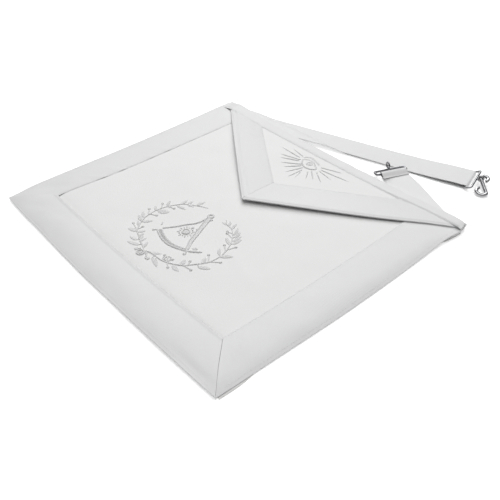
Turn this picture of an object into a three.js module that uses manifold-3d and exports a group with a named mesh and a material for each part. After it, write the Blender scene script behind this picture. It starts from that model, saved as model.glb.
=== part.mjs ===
// A white masonic apron that lies flat: a leather panel with ribbon borders, a triangular flap folded
// down from the waistband, two waist straps with wire slides, a snake hook and raised embroidery.
// Millimetres, +X across the width, +Y towards the waistband, +Z up from the table.

import * as THREE from "three";
import { mergeVertices } from "three/addons/utils/BufferGeometryUtils.js";
import Module from "manifold-3d";

const wasm = await Module();
wasm.setup();

// Driving dimensions of the apron
const APRON_WIDTH = 406;
const APRON_HEIGHT = 356;
const BORDER_WIDTH = 50;
const BACKING_WALL = 1;
const PANEL_WALL = 1;
const RIBBON_WALL = 1;
const CLEARANCE = 0.3;
const BORDER_ROLL = 14;
const BORDER_PUFF = 1.8;

// How the cloth lies on the table
const EDGE_BOW = 4.6;
const SIDE_BOW = 4.5;
const CORNER_PULL = 9;
const CLOTH_EASE = 2.4;
const CLOTH_REST = 0.14;

// Driving dimensions of the waistband and the flap
const BAND_WIDTH = 15.5;
const BAND_FOLD_RADIUS = 2;
const FLAP_DROP = 135;
const FLAP_REACH_LEFT = 187;
const FLAP_REACH_RIGHT = 199;
const FLAP_BORDER_WIDTH = 41;
const FLAP_LIFT = 3;
const FLAP_ROLL = 3;

// Driving dimensions of the straps
const STRAP_WIDTH = 38;
const STRAP_WALL = 1;
const STRAP_PINCH = 4.4;
const LONG_STRAP_LENGTH = 276;
const LONG_STRAP_HEADING = 17.2;
const LONG_STRAP_ROOT = -0.53;
const SHORT_STRAP_HEADING = 156.9;
const SHORT_STRAP_ROOT = 0.695;
const SHORT_STRAP_TURNBACK = 8.5;
const SHORT_STRAP_OVERLAP = 0.9;
const STRAP_RAMP = 70;

// Driving dimensions of the metal
const SLIDE_WIRE = 3;
const SLIDE_SPACING = 8;
const SLIDE_END_ROOM = 2.7;
const SLIDE_CORNER = 2.4;
const LONG_SLIDE_TILT = 24;
const SHORT_SLIDE_TILT = -6;
const SHORT_SLIDE_SLIP = -1.9;
const RING_WIRE = 1.8;
const RING_HOLE = 5.2;
const LONG_RING_LIFT = 0;
const SHORT_RING_LIFT = 58;
const HOOK_WIRE = 2.8;
const HOOK_EYE_RADIUS = 5.2;
const HOOK_BEND_RADIUS = 6.5;
const HOOK_LENGTH = 29;
const HOOK_HEADING = -49;

// Driving dimensions of the embroidery
const STITCH_HEIGHT = 0.8;
const EMBLEM_ACROSS = 0.022;
const EMBLEM_UP = -0.334;
const WREATH_HALF_WIDTH = 58;
const WREATH_HALF_HEIGHT = 50;
const LEAF_LENGTH = 13;
const LEAF_WIDTH = 4.6;
const LEAF_PAIRS = 11;
const BERRY_RADIUS = 1.5;
const STEM_WIDTH = 1.5;
const LEG_LENGTH = 68;
const LEG_WIDTH = 4.6;
const LEG_OPENING = 25.2;
const HUB_RADIUS = 4.8;
const HINGE_HEIGHT = 41;
const COMPASS_LEAN = 3.5;
const ARC_RADIUS = 65;
const ARC_WIDTH = 4.8;
const ARC_OPENING = 39;
const SUN_DROP = 36.6;
const SUN_RADIUS = 4.4;
const SUN_RAY = 9.4;
const SUN_RAYS = 16;
const EYE_LENGTH = 29;
const EYE_HEIGHT = 11;
const EYE_RIM = 1.7;
const IRIS_RADIUS = 3.4;
const EYE_UP = 0.83;
const RAY_SPREAD_WIDTH = 57;
const RAY_SPREAD_HEIGHT = 38;
const RAY_COUNT = 23;
const RAY_WIDTH = 1.7;

// Each row is one soft rise of the lying cloth: its middle across and up as shares of the half width
// and the half height, its spread as a share of the half width, its height as a share of CLOTH_EASE.
const RISES = [
  { across: -0.74, up: -0.7, spread: 0.42, height: 0.85 },
  { across: 1.0, up: 0.92, spread: 0.34, height: 1.0 },
  { across: -0.98, up: 0.95, spread: 0.34, height: 0.5 },
  { across: 0.42, up: 0.05, spread: 0.36, height: 0.45 },
  { across: 0.55, up: -0.95, spread: 0.5, height: 0.35 },
];

// Each row is one wreath leaf kind: which side of the stem it grows on and how far it leans off it.
const LEAF_SIDES = [
  { side: 1, lean: 38 },
  { side: -1, lean: 34 },
];

const half = { width: APRON_WIDTH / 2, height: APRON_HEIGHT / 2 };
const seam = { x: half.width - BORDER_WIDTH, y: BORDER_WIDTH - half.height };
const bandLow = half.height - BAND_WIDTH;
const apexY = bandLow - FLAP_DROP;

// Heights of the sewn layers above the table, each a clearance above the one below it.
const backingTop = BACKING_WALL;
const panelLow = backingTop + CLEARANCE;
const panelTop = panelLow + PANEL_WALL;
const borderLow = panelTop + CLEARANCE;
const borderTop = borderLow + RIBBON_WALL;
const flapLow = borderTop + CLEARANCE;
const flapTop = flapLow + PANEL_WALL;
const ribbonLow = flapTop + CLEARANCE;
const ribbonTop = ribbonLow + RIBBON_WALL;

const finish = (color, roughness, metalness) =>
  new THREE.MeshStandardMaterial({ color, roughness, metalness });
const leather = finish(0xf3f2ee, 0.6, 0);
const ribbon = finish(0xe9e9ea, 0.5, 0);
const lining = finish(0xe2e2e0, 0.8, 0);
const thread = finish(0xf0efec, 0.4, 0);
const chrome = finish(0xc9ccd0, 0.15, 1);

const lerp = THREE.MathUtils.lerp;
const degrees = THREE.MathUtils.degToRad;
const smooth = (value, from, to) => THREE.MathUtils.smoothstep(value, from, to);

const apron = new THREE.Group();

function addMesh(name, geometry, material) {
  const mesh = new THREE.Mesh(geometry, material);
  mesh.name = name;
  apron.add(mesh);
}

// Where a point of the flat apron lies on the table: the middle sags towards the foot, the right edge
// bows out and the bottom left corner is pulled in.
function lay(x, y) {
  const across = x / half.width;
  const up = y / half.height;
  const pull = (CORNER_PULL * (1 - across) * (1 - up)) / 4;
  const bow = (SIDE_BOW * (1 - up * up) * (1 + across)) / 2;
  return [x + pull + bow, y - EDGE_BOW * (1 - across * across)];
}

// Height of the lying cloth's underside at a point of the flat apron: the weight of the cloth presses
// it flat wherever the rises together stay under the share CLOTH_REST.
function rise(x, y) {
  let share = 0;
  for (const row of RISES) {
    const dx = (x / half.width - row.across) / row.spread;
    const dy = (y - row.up * half.height) / (row.spread * half.width);
    share += row.height * Math.exp(-dx * dx - dy * dy);
  }
  return CLOTH_EASE * Math.max(share - CLOTH_REST, 0);
}

function buildGeometry(positions, triangles) {
  const geometry = new THREE.BufferGeometry();
  geometry.setAttribute("position", new THREE.Float32BufferAttribute(positions, 3));
  geometry.setIndex(triangles);
  return geometry;
}

// A closed wall between two faces: face(u, v) gives an upper and a lower point at the shares u of its
// length and v of its width, and the two grids are joined round their rims.
function wall(uSteps, vSteps, face) {
  const positions = [];
  const triangles = [];
  const row = vSteps + 1;
  const layer = (uSteps + 1) * row;
  for (const side of [0, 1]) {
    for (let i = 0; i <= uSteps; i++) {
      for (let j = 0; j <= vSteps; j++) {
        positions.push(...face(i / uSteps, j / vSteps, i, j)[side]);
      }
    }
  }
  const quad = (a, b, c, d) => triangles.push(a, b, c, a, c, d);
  for (let i = 0; i < uSteps; i++) {
    for (let j = 0; j < vSteps; j++) {
      const k = i * row + j;
      quad(k, k + row, k + row + 1, k + 1);
      quad(layer + k, layer + k + 1, layer + k + row + 1, layer + k + row);
    }
    const left = i * row;
    const right = i * row + vSteps;
    quad(left, layer + left, layer + left + row, left + row);
    quad(right, right + row, layer + right + row, layer + right);
  }
  for (let j = 0; j < vSteps; j++) {
    const near = j;
    const far = uSteps * row + j;
    quad(near, near + 1, layer + near + 1, layer + near);
    quad(far, layer + far, layer + far + 1, far + 1);
  }
  return buildGeometry(positions, triangles);
}

// A wall that lies on the table: place(u, v) gives a point of the flat apron with the heights of its
// lower and upper face above the lying cloth's underside.
function layerWall(uSteps, vSteps, place) {
  return wall(uSteps, vSteps, (u, v) => {
    const [x, y, low, high] = place(u, v);
    const ground = rise(x, y);
    const [laidX, laidY] = lay(x, y);
    return [
      [laidX, laidY, ground + high],
      [laidX, laidY, ground + low],
    ];
  });
}

// The backing reaches the apron's own outline on three sides and stops short of the strap roots.
function makeBacking() {
  const top = bandLow - BORDER_ROLL / 5;
  return layerWall(12, 11, (u, v) => [
    lerp(-half.width, half.width, u),
    lerp(-half.height, top, v),
    0,
    backingTop,
  ]);
}

// The panel runs on under the borders to where their edges roll down.
function makePanel() {
  const inset = BORDER_ROLL;
  const top = half.height - BAND_FOLD_RADIUS - CLEARANCE;
  return layerWall(12, 12, (u, v) => [
    lerp(inset - half.width, half.width - inset, u),
    lerp(inset - half.height, top, v),
    panelLow,
    panelTop,
  ]);
}

// Height of the flap's edge line at a distance from the middle, on the flat apron.
function flapEdgeY(x) {
  const reach = x < 0 ? FLAP_REACH_LEFT : FLAP_REACH_RIGHT;
  return apexY + (FLAP_DROP * Math.abs(x)) / reach;
}

// Heights of a border's faces: it is puffed up between seam and edge except under the flap, and its
// outer edge rolls down to the backing except near the waistband. share runs from seam to outer edge.
function borderHeights(share, y) {
  const flapStart = flapEdgeY(-seam.x) - BORDER_ROLL;
  const puff = BORDER_PUFF * Math.sin(Math.PI * share) * (1 - smooth(y, apexY, flapStart));
  const roll = 1 - smooth(y, bandLow - BORDER_WIDTH, bandLow - BORDER_ROLL);
  const drop = roll * (borderLow - panelLow) * smooth(share, 1.02 - BORDER_ROLL / BORDER_WIDTH, 1);
  const low = borderLow + puff - drop;
  return [low, low + RIBBON_WALL];
}

// One ribbon border as a quad between an outer and an inner edge, each given by its two ends.
function makeBorder(outer, inner) {
  return layerWall(20, 7, (u, v) => {
    const x = lerp(lerp(inner[0][0], inner[1][0], u), lerp(outer[0][0], outer[1][0], u), v);
    const y = lerp(lerp(inner[0][1], inner[1][1], u), lerp(outer[0][1], outer[1][1], u), v);
    return [x, y, ...borderHeights(v, y)];
  });
}

function makeSideBorder(side) {
  const top = half.height - BAND_FOLD_RADIUS - CLEARANCE;
  const outerFoot = [side * half.width, -half.height + 2 * CLEARANCE];
  const innerFoot = [side * seam.x, seam.y + 2 * CLEARANCE];
  return makeBorder(
    [[side * half.width, top], outerFoot],
    [[side * seam.x, top], innerFoot],
  );
}

function makeBottomBorder() {
  return makeBorder(
    [[-half.width, -half.height], [half.width, -half.height]],
    [[-seam.x, seam.y], [seam.x, seam.y]],
  );
}

// How far the flap stands off the panel, from nothing at its fold to its point.
function flapLift(y) {
  const share = THREE.MathUtils.clamp((bandLow - y) / FLAP_DROP, 0, 1);
  return FLAP_LIFT * share ** 1.4;
}

// How far in from the flap's edge line, measured across, its leather ends on one side.
function flapInset(reach) {
  return (FLAP_ROLL * Math.hypot(reach, FLAP_DROP)) / FLAP_DROP + CLEARANCE;
}

// The flap's leather runs from inside the waistband's fold down to its point.
function makeFlapPanel() {
  const top = half.height - BAND_FOLD_RADIUS - CLEARANCE;
  const insetLeft = flapInset(FLAP_REACH_LEFT);
  const insetRight = flapInset(FLAP_REACH_RIGHT);
  const point = apexY + (FLAP_DROP * (insetLeft + PANEL_WALL)) / FLAP_REACH_LEFT;
  return layerWall(14, 12, (u, v) => {
    const y = lerp(top, point, v);
    const share = Math.min((y - apexY) / FLAP_DROP, 1);
    const x = lerp(insetLeft - FLAP_REACH_LEFT * share, FLAP_REACH_RIGHT * share - insetRight, u);
    const lift = flapLift(y);
    return [x, y, flapLow + lift, flapTop + lift];
  });
}

// One flap ribbon lies along a slanting edge; its outer edge rolls down past the leather's edge.
function makeFlapBorder(side) {
  const reach = side < 0 ? FLAP_REACH_LEFT : FLAP_REACH_RIGHT;
  const slope = Math.hypot(reach, FLAP_DROP);
  const top = bandLow - CLEARANCE;
  const mitre = (side * CLEARANCE) / 2;
  const outer = [[side * reach, top], [mitre, apexY]];
  const innerTop = side * (reach - (FLAP_BORDER_WIDTH * slope) / FLAP_DROP);
  const inner = [[innerTop, top], [mitre, apexY + (FLAP_BORDER_WIDTH * slope) / reach]];
  const rollStart = 1 - FLAP_ROLL / FLAP_BORDER_WIDTH;
  return layerWall(14, 4, (u, v) => {
    const share = v < 1 ? (v / 0.75) * rollStart : 1;
    const x = lerp(lerp(inner[0][0], inner[1][0], u), lerp(outer[0][0], outer[1][0], u), share);
    const y = lerp(lerp(inner[0][1], inner[1][1], u), lerp(outer[0][1], outer[1][1], u), share);
    const lift = flapLift(y);
    const roll = v < 1 ? 0 : PANEL_WALL;
    return [x, y, ribbonLow + lift - roll, ribbonTop + lift - roll];
  });
}

// The waistband's section: a flat leaf on the flap, a round fold at the top edge and a back edge.
function bandSection() {
  const middle = ribbonTop - RIBBON_WALL / 2;
  const foldY = half.height - BAND_FOLD_RADIUS;
  const foldZ = ribbonTop - BAND_FOLD_RADIUS;
  const radius = BAND_FOLD_RADIUS - RIBBON_WALL / 2;
  const section = [
    { y: bandLow, z: middle, turn: 0 },
    { y: lerp(bandLow, foldY, 0.5), z: middle, turn: 0 },
  ];
  for (const turn of [0, 30, 60, 90]) {
    const angle = degrees(turn);
    section.push({
      y: foldY + radius * Math.sin(angle),
      z: foldZ + radius * Math.cos(angle),
      turn: angle,
    });
  }
  section.push({ y: foldY + radius, z: panelLow, turn: degrees(90) });
  return section;
}

function makeWaistband() {
  const section = bandSection();
  const offset = RIBBON_WALL / 2;
  return wall(20, section.length - 1, (u, v, i, j) => {
    const x = lerp(-half.width, half.width, u);
    const row = section[j];
    const point = (reach) => {
      const y = row.y + reach * Math.sin(row.turn);
      const [laidX, laidY] = lay(x, y);
      return [laidX, laidY, rise(x, y) + row.z + reach * Math.cos(row.turn)];
    };
    return [point(offset), point(-offset)];
  });
}

// The frame of a strap: a point on its middle line where it leaves the waistband, its direction along
// the table and the direction across it.
function strapFrame(heading, root) {
  const angle = degrees(heading);
  const along = new THREE.Vector2(Math.cos(angle), Math.sin(angle));
  const across = new THREE.Vector2(-along.y, along.x);
  if (along.x < 0) across.negate();
  return {
    start: new THREE.Vector2(root * half.width, half.height - BAND_FOLD_RADIUS),
    along,
    across,
  };
}

const longStrap = strapFrame(LONG_STRAP_HEADING, LONG_STRAP_ROOT);
const shortStrap = strapFrame(SHORT_STRAP_HEADING, SHORT_STRAP_ROOT);

const barWrap = SLIDE_WIRE / 2 + CLEARANCE + STRAP_WALL / 2;
const barOuter = barWrap + STRAP_WALL / 2;
const pinchedHalf = (STRAP_WIDTH - STRAP_PINCH) / 2;
const doubledTop = 2 * STRAP_WALL + CLEARANCE;
const longBar = { s: LONG_STRAP_LENGTH - barOuter, z: barOuter };

// The short strap ends where the corner of its fold lies over the long strap's lower edge.
function shortBarPlace() {
  const edge = longStrap.start.clone().addScaledVector(longStrap.across, -STRAP_WIDTH / 2);
  const corner = shortStrap.start.clone().addScaledVector(shortStrap.across, pinchedHalf);
  const room = edge.sub(corner).dot(longStrap.across) + SHORT_STRAP_OVERLAP;
  const reach = room / shortStrap.along.dot(longStrap.across);
  return { s: reach - barOuter, z: doubledTop + CLEARANCE + barOuter };
}

const shortBar = shortBarPlace();

// Where the line at height y across the table cuts a strap, for a place across the strap.
function cutAt(frame, y, across) {
  return (y - frame.start.y - across * frame.across.y) / frame.along.y;
}

// Half turn of the strap round a slide's bar, from its side at angle from to its side at angle to.
function barTurn(bar, from, to) {
  const turn = [];
  for (let k = 1; k < 6; k++) {
    const angle = degrees(lerp(from, to, k / 6));
    turn.push([bar.s + barWrap * Math.cos(angle), bar.z + barWrap * Math.sin(angle)]);
  }
  return turn;
}

// Middle line of the long strap for a place across it: out of the waistband, over its own returned
// end, up and round the bar and back along the table.
function longStrapLine(across) {
  const share = across / STRAP_WIDTH + 0.5;
  const flat = STRAP_WALL / 2;
  const upper = flat + STRAP_WALL + CLEARANCE;
  const rampStart = longBar.s - STRAP_RAMP;
  const exit = cutAt(longStrap, half.height + 2, across);
  const climbed = cutAt(longStrap, half.height + 11, across);
  const line = [
    [cutAt(longStrap, lerp(bandLow + CLEARANCE, half.height - 5, share), across), flat],
    [exit, flat],
    [climbed, upper],
  ];
  for (const step of [0.33, 0.66, 1]) line.push([lerp(climbed, rampStart, step), upper]);
  for (const step of [0.25, 0.5, 0.75, 1]) {
    line.push([lerp(rampStart, longBar.s, step), lerp(upper, longBar.z + barWrap, smooth(step, 0, 1))]);
  }
  line.push(...barTurn(longBar, 90, -90));
  const foot = longBar.z - barWrap;
  const cut = cutAt(longStrap, half.height + 14, across);
  for (const step of [0, 0.25, 0.5, 0.75, 1]) line.push([lerp(longBar.s, cut, step), foot]);
  return line;
}

// Middle line of the short strap: out of the waistband, under the bar, round it and back on top.
function shortStrapLine(across) {
  const share = across / STRAP_WIDTH + 0.5;
  const flat = STRAP_WALL / 2;
  const foot = shortBar.z - barWrap;
  const exit = cutAt(shortStrap, half.height + 2, across);
  const line = [
    [cutAt(shortStrap, lerp(bandLow + CLEARANCE, half.height - 5, share), across), flat],
    [exit, flat],
  ];
  for (const step of [0.25, 0.5, 0.75, 1]) {
    line.push([lerp(exit, shortBar.s, step), lerp(flat, foot, smooth(step, 0, 1))]);
  }
  line.push(...barTurn(shortBar, -90, 90));
  const end = shortBar.s - SHORT_STRAP_TURNBACK;
  const top = shortBar.z + barWrap;
  for (const step of [0, 0.33, 0.66, 1]) {
    const height = lerp(top, foot + STRAP_WALL + CLEARANCE, smooth(step, 0, 1.2));
    line.push([lerp(shortBar.s, end, step), height]);
  }
  return line;
}

// A strap as a wall: the middle line for each place across it, offset both ways by half the wall.
function makeStrap(frame, bar, lineAt) {
  const vSteps = 4;
  const lines = [];
  for (let j = 0; j <= vSteps; j++) lines.push(lineAt(STRAP_WIDTH * (j / vSteps - 0.5)));
  const offset = STRAP_WALL / 2;
  return wall(lines[0].length - 1, vSteps, (u, v, i, j) => {
    const line = lines[j];
    const [s, z] = line[i];
    const before = line[Math.max(i - 1, 0)];
    const after = line[Math.min(i + 1, line.length - 1)];
    const run = new THREE.Vector2(after[0] - before[0], after[1] - before[1]).normalize();
    const pinch = 1 - (STRAP_PINCH / STRAP_WIDTH) * smooth(s, bar.s - STRAP_RAMP / 2, bar.s - barOuter);
    const side = STRAP_WIDTH * (v - 0.5) * pinch;
    const point = (reach) => {
      const along = s - reach * run.y;
      const place = frame.start
        .clone()
        .addScaledVector(frame.along, along)
        .addScaledVector(frame.across, side);
      return [place.x, place.y, z + reach * run.x];
    };
    return [point(offset), point(-offset)];
  });
}

// A round wire bent in one plane: points are its middle line in the plane, the plane's normal is Z.
// thickness gives the wire's radius at each point.
function planarWire(points, closed, thickness, sides) {
  const count = points.length;
  const positions = [];
  const triangles = [];
  points.forEach((point, i) => {
    const before = closed ? points[(i + count - 1) % count] : points[Math.max(i - 1, 0)];
    const after = closed ? points[(i + 1) % count] : points[Math.min(i + 1, count - 1)];
    const into = point.clone().sub(before).normalize();
    const out = after.clone().sub(point).normalize();
    const run = into.clone().add(out).normalize();
    const stretch = into.length() && out.length() ? 1 / Math.max(run.dot(out), 0.5) : 1;
    const radius = thickness(i / (count - 1));
    for (let k = 0; k < sides; k++) {
      const angle = (2 * Math.PI * (k + 0.5)) / sides;
      const reach = radius * Math.cos(angle) * stretch;
      positions.push(point.x - run.y * reach, point.y + run.x * reach, radius * Math.sin(angle));
    }
  });
  const rings = closed ? count : count - 1;
  for (let i = 0; i < rings; i++) {
    for (let k = 0; k < sides; k++) {
      const a = i * sides + k;
      const b = i * sides + ((k + 1) % sides);
      const c = ((i + 1) % count) * sides + k;
      const d = ((i + 1) % count) * sides + ((k + 1) % sides);
      triangles.push(a, c, b, b, c, d);
    }
  }
  if (!closed) {
    for (let k = 1; k < sides - 1; k++) {
      const last = (count - 1) * sides;
      triangles.push(0, k, k + 1, last, last + k + 1, last + k);
    }
  }
  return outward(buildGeometry(positions, triangles));
}

// The same surface with its triangles turned to face out.
function outward(geometry) {
  const p = geometry.getAttribute("position");
  const index = geometry.getIndex().array;
  const corner = [new THREE.Vector3(), new THREE.Vector3(), new THREE.Vector3()];
  let volume = 0;
  for (let i = 0; i < index.length; i += 3) {
    corner.forEach((c, k) => c.fromBufferAttribute(p, index[i + k]));
    volume += corner[0].dot(corner[1].clone().cross(corner[2]));
  }
  if (volume < 0) {
    for (let i = 0; i < index.length; i += 3) {
      [index[i + 1], index[i + 2]] = [index[i + 2], index[i + 1]];
    }
  }
  return geometry;
}

function arcPoints(centre, radius, from, to, steps) {
  const points = [];
  for (let k = 0; k <= steps; k++) {
    const angle = degrees(lerp(from, to, k / steps));
    points.push(
      new THREE.Vector2(centre.x + radius * Math.cos(angle), centre.y + radius * Math.sin(angle)),
    );
  }
  return points;
}

function toSolid(geometry) {
  const bare = geometry.clone();
  for (const name of ["normal", "uv"]) bare.deleteAttribute(name);
  const merged = mergeVertices(bare, 1e-4);
  return new wasm.Manifold(
    new wasm.Mesh({
      numProp: 3,
      vertProperties: new Float32Array(merged.getAttribute("position").array),
      triVerts: new Uint32Array(merged.getIndex().array),
    }),
  );
}

function toGeometry(solid) {
  const mesh = solid.getMesh();
  return buildGeometry(Array.from(mesh.vertProperties), Array.from(mesh.triVerts));
}

function fuse(geometries) {
  return geometries.map(toSolid).reduce((whole, piece) => whole.add(piece));
}

const ringRadius = (RING_HOLE + RING_WIRE) / 2;
const ringReach = SLIDE_WIRE / 2 + ringRadius + RING_WIRE / 6;

// Middle of a slide's ring in the slide's own frame, for the angle that it is lifted off the plane.
function ringMiddle(lift) {
  const angle = degrees(lift);
  return new THREE.Vector3(
    SLIDE_SPACING + ringReach * Math.cos(angle),
    0,
    ringReach * Math.sin(angle),
  );
}

// A slide in its own plane: X runs out from the strap's bar, Y along the bar, with the ring upright.
function makeSlideSolid(lift) {
  const longSide = STRAP_WIDTH / 2 + SLIDE_END_ROOM - SLIDE_WIRE / 2 + CLEARANCE;
  const corners = [
    { x: SLIDE_SPACING, y: longSide, from: 0, to: 90 },
    { x: 0, y: longSide, from: 90, to: 180 },
    { x: 0, y: -longSide, from: 180, to: 270 },
    { x: SLIDE_SPACING, y: -longSide, from: 270, to: 360 },
  ];
  const outline = corners.flatMap((row) => {
    const centre = {
      x: row.x - Math.sign(row.x - SLIDE_SPACING / 2) * SLIDE_CORNER,
      y: row.y - Math.sign(row.y) * SLIDE_CORNER,
    };
    return arcPoints(centre, SLIDE_CORNER, row.from, row.to, 3);
  });
  const loop = planarWire(outline, true, () => SLIDE_WIRE / 2, 8);
  const circle = arcPoints({ x: 0, y: 0 }, ringRadius, 0, 360, 14).slice(0, -1);
  const ring = planarWire(circle, true, () => RING_WIRE / 2, 6);
  const middle = ringMiddle(lift);
  ring.rotateX(Math.PI / 2).translate(middle.x, middle.y, middle.z);
  return fuse([loop, ring]);
}

// Stands a slide on a strap: its first bar inside the strap's fold, the rest tilted up off the table.
function placeSlide(frame, bar, tilt, slip) {
  const run = new THREE.Vector3(frame.along.x, frame.along.y, 0);
  const side = new THREE.Vector3(-frame.along.y, frame.along.x, 0);
  const out = run.clone().multiplyScalar(Math.cos(degrees(tilt)));
  out.z = Math.sin(degrees(tilt));
  const normal = out.clone().cross(side);
  const origin = frame.start
    .clone()
    .addScaledVector(frame.along, bar.s)
    .addScaledVector(frame.across, slip);
  return new THREE.Matrix4()
    .makeBasis(out, side, normal)
    .setPosition(origin.x, origin.y, bar.z);
}

// The hook in its own plane: X runs along the hook from the slide's ring, Y to the side of its eye.
// An open round bend at the foot turns one way, the closed eye at the head turns the other way.
function makeHook() {
  const bend = new THREE.Vector2(HOOK_LENGTH - HOOK_BEND_RADIUS - HOOK_WIRE / 2, -HOOK_EYE_RADIUS / 6);
  const eye = new THREE.Vector2(0, HOOK_EYE_RADIUS);
  const tip = arcPoints(bend, HOOK_BEND_RADIUS, -165, 55, 14);
  const head = arcPoints(eye, HOOK_EYE_RADIUS, -62, -350, 16);
  const points = [...tip, ...head];
  const thickness = (share) => (HOOK_WIRE / 2) * lerp(0.72, 1, smooth(share, 0, 0.12));
  return planarWire(points, false, thickness, 8);
}

const longSlideMatrix = placeSlide(longStrap, longBar, LONG_SLIDE_TILT, 0);
const shortSlideMatrix = placeSlide(shortStrap, shortBar, SHORT_SLIDE_TILT, SHORT_SLIDE_SLIP);

// Hangs the hook in the long slide's ring and lets its foot rest on the table.
function placeHook() {
  const ring = ringMiddle(LONG_RING_LIFT).applyMatrix4(longSlideMatrix);
  const fall = Math.asin((ring.z - HOOK_WIRE / 2) / (HOOK_LENGTH - HOOK_WIRE / 2));
  const heading = degrees(HOOK_HEADING);
  const along = new THREE.Vector3(
    Math.cos(heading) * Math.cos(fall),
    Math.sin(heading) * Math.cos(fall),
    -Math.sin(fall),
  );
  const side = new THREE.Vector3(-Math.sin(heading), Math.cos(heading), 0);
  const normal = along.clone().cross(side);
  return new THREE.Matrix4().makeBasis(along, side, normal).setPosition(ring);
}

// A flat outline raised to the stitch height, with its foot at zero.
function raised(outline) {
  const shape = new THREE.Shape(outline);
  return new THREE.ExtrudeGeometry(shape, { depth: STITCH_HEIGHT, bevelEnabled: false, steps: 1 });
}

// Lays fused flat embroidery on its cloth: each point goes up by the height of the cloth under it.
function sewOn(solid, clothTop) {
  const geometry = toGeometry(solid);
  const p = geometry.getAttribute("position");
  for (let i = 0; i < p.count; i++) {
    const x = p.getX(i);
    const y = p.getY(i);
    const [laidX, laidY] = lay(x, y);
    p.setXYZ(i, laidX, laidY, p.getZ(i) + clothTop(x, y) + CLEARANCE);
  }
  return geometry;
}

const emblem = { x: EMBLEM_ACROSS * half.width, y: EMBLEM_UP * half.height };
const onPanel = (x, y) => rise(x, y) + panelTop;
const onFlap = (x, y) => rise(x, y) + flapTop + flapLift(y);

// A pointed leaf from its foot along a direction.
function leafOutline(foot, direction, length, width) {
  const along = new THREE.Vector2(Math.cos(direction), Math.sin(direction));
  const across = new THREE.Vector2(-along.y, along.x);
  const point = (share, spread) =>
    foot
      .clone()
      .addScaledVector(along, share * length)
      .addScaledVector(across, spread * width);
  return [point(0, -0.12), point(0.45, -0.5), point(1, 0), point(0.45, 0.5), point(0, 0.12)];
}

// Middle line of one wreath branch, from its tail across the tie to its tip at the top.
function branchPoint(side, turn) {
  return new THREE.Vector2(
    emblem.x + side * WREATH_HALF_WIDTH * Math.sin(turn),
    emblem.y - WREATH_HALF_HEIGHT * Math.cos(turn),
  );
}

function branchDirection(side, turn) {
  return Math.atan2(
    WREATH_HALF_HEIGHT * Math.sin(turn),
    side * WREATH_HALF_WIDTH * Math.cos(turn),
  );
}

function makeBranch(side) {
  const tail = -0.16;
  const tip = 2.84;
  const steps = 20;
  const left = [];
  const right = [];
  for (let k = 0; k <= steps; k++) {
    const turn = lerp(tail, tip, k / steps);
    const point = branchPoint(side, turn);
    const heading = branchDirection(side, turn);
    const reach = (STEM_WIDTH / 2) * lerp(1.1, 0.6, k / steps);
    left.push(point.clone().add(new THREE.Vector2(-Math.sin(heading), Math.cos(heading)).multiplyScalar(reach)));
    right.push(point.clone().add(new THREE.Vector2(Math.sin(heading), -Math.cos(heading)).multiplyScalar(reach)));
  }
  const pieces = [raised([...right, ...left.reverse()])];
  for (let k = 0; k < LEAF_PAIRS; k++) {
    const turn = lerp(0.2, tip - 0.12, k / (LEAF_PAIRS - 1));
    const foot = branchPoint(side, turn);
    const heading = branchDirection(side, turn);
    for (const row of LEAF_SIDES) {
      const direction = heading + row.side * degrees(row.lean);
      pieces.push(raised(leafOutline(foot, direction, LEAF_LENGTH, LEAF_WIDTH)));
    }
    const berry = branchPoint(side, turn - 0.13);
    const away = heading + (k % 2 ? 1 : -1) * Math.PI / 2;
    berry.add(new THREE.Vector2(Math.cos(away), Math.sin(away)).multiplyScalar(BERRY_RADIUS));
    pieces.push(raised(arcPoints(berry, BERRY_RADIUS, 0, 360, 6).slice(0, -1)));
  }
  const end = branchPoint(side, tip - 0.03);
  pieces.push(raised(leafOutline(end, branchDirection(side, tip), LEAF_LENGTH * 0.8, LEAF_WIDTH)));
  return pieces;
}

function makeWreath() {
  const tie = branchPoint(1, 0);
  const knot = raised(arcPoints(tie, 2.2 * STEM_WIDTH, 0, 360, 8).slice(0, -1));
  return sewOn(fuse([...makeBranch(1), ...makeBranch(-1), knot]), onPanel);
}

const hinge = { x: emblem.x - 2.5, y: emblem.y + HINGE_HEIGHT };

// A point at a distance from the compasses' hinge, at an angle off their own middle line.
function fromHinge(distance, angle) {
  const turn = degrees(angle + COMPASS_LEAN - 90);
  return new THREE.Vector2(
    hinge.x + distance * Math.cos(turn),
    hinge.y + distance * Math.sin(turn),
  );
}

function makeCompasses() {
  const hub = raised(arcPoints(hinge, HUB_RADIUS, 0, 360, 12).slice(0, -1));
  const knob = fromHinge(-HUB_RADIUS, 0);
  const pieces = [hub, raised(arcPoints(knob, HUB_RADIUS / 2.4, 0, 360, 8).slice(0, -1))];
  for (const side of [-1, 1]) {
    const lean = side * LEG_OPENING;
    const spread = (LEG_WIDTH / 2 / ARC_RADIUS) * (180 / Math.PI);
    pieces.push(
      raised([
        fromHinge(HUB_RADIUS, lean - 4 * spread),
        fromHinge(ARC_RADIUS - ARC_WIDTH, lean - spread),
        fromHinge(LEG_LENGTH + ARC_WIDTH / 2, lean),
        fromHinge(ARC_RADIUS - ARC_WIDTH, lean + spread),
        fromHinge(HUB_RADIUS, lean + 4 * spread),
        fromHinge(0, lean),
      ]),
    );
    const finial = fromHinge(ARC_RADIUS, side * ARC_OPENING);
    pieces.push(raised(arcPoints(finial, ARC_WIDTH * 0.62, 0, 360, 8).slice(0, -1)));
  }
  const steps = 14;
  const inner = [];
  const outer = [];
  for (let k = 0; k <= steps; k++) {
    const angle = lerp(-ARC_OPENING, ARC_OPENING, k / steps);
    inner.push(fromHinge(ARC_RADIUS - ARC_WIDTH / 2, angle));
    outer.push(fromHinge(ARC_RADIUS + ARC_WIDTH / 2, angle));
  }
  pieces.push(raised([...outer, ...inner.reverse()]));
  return sewOn(fuse(pieces), onPanel);
}

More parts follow.
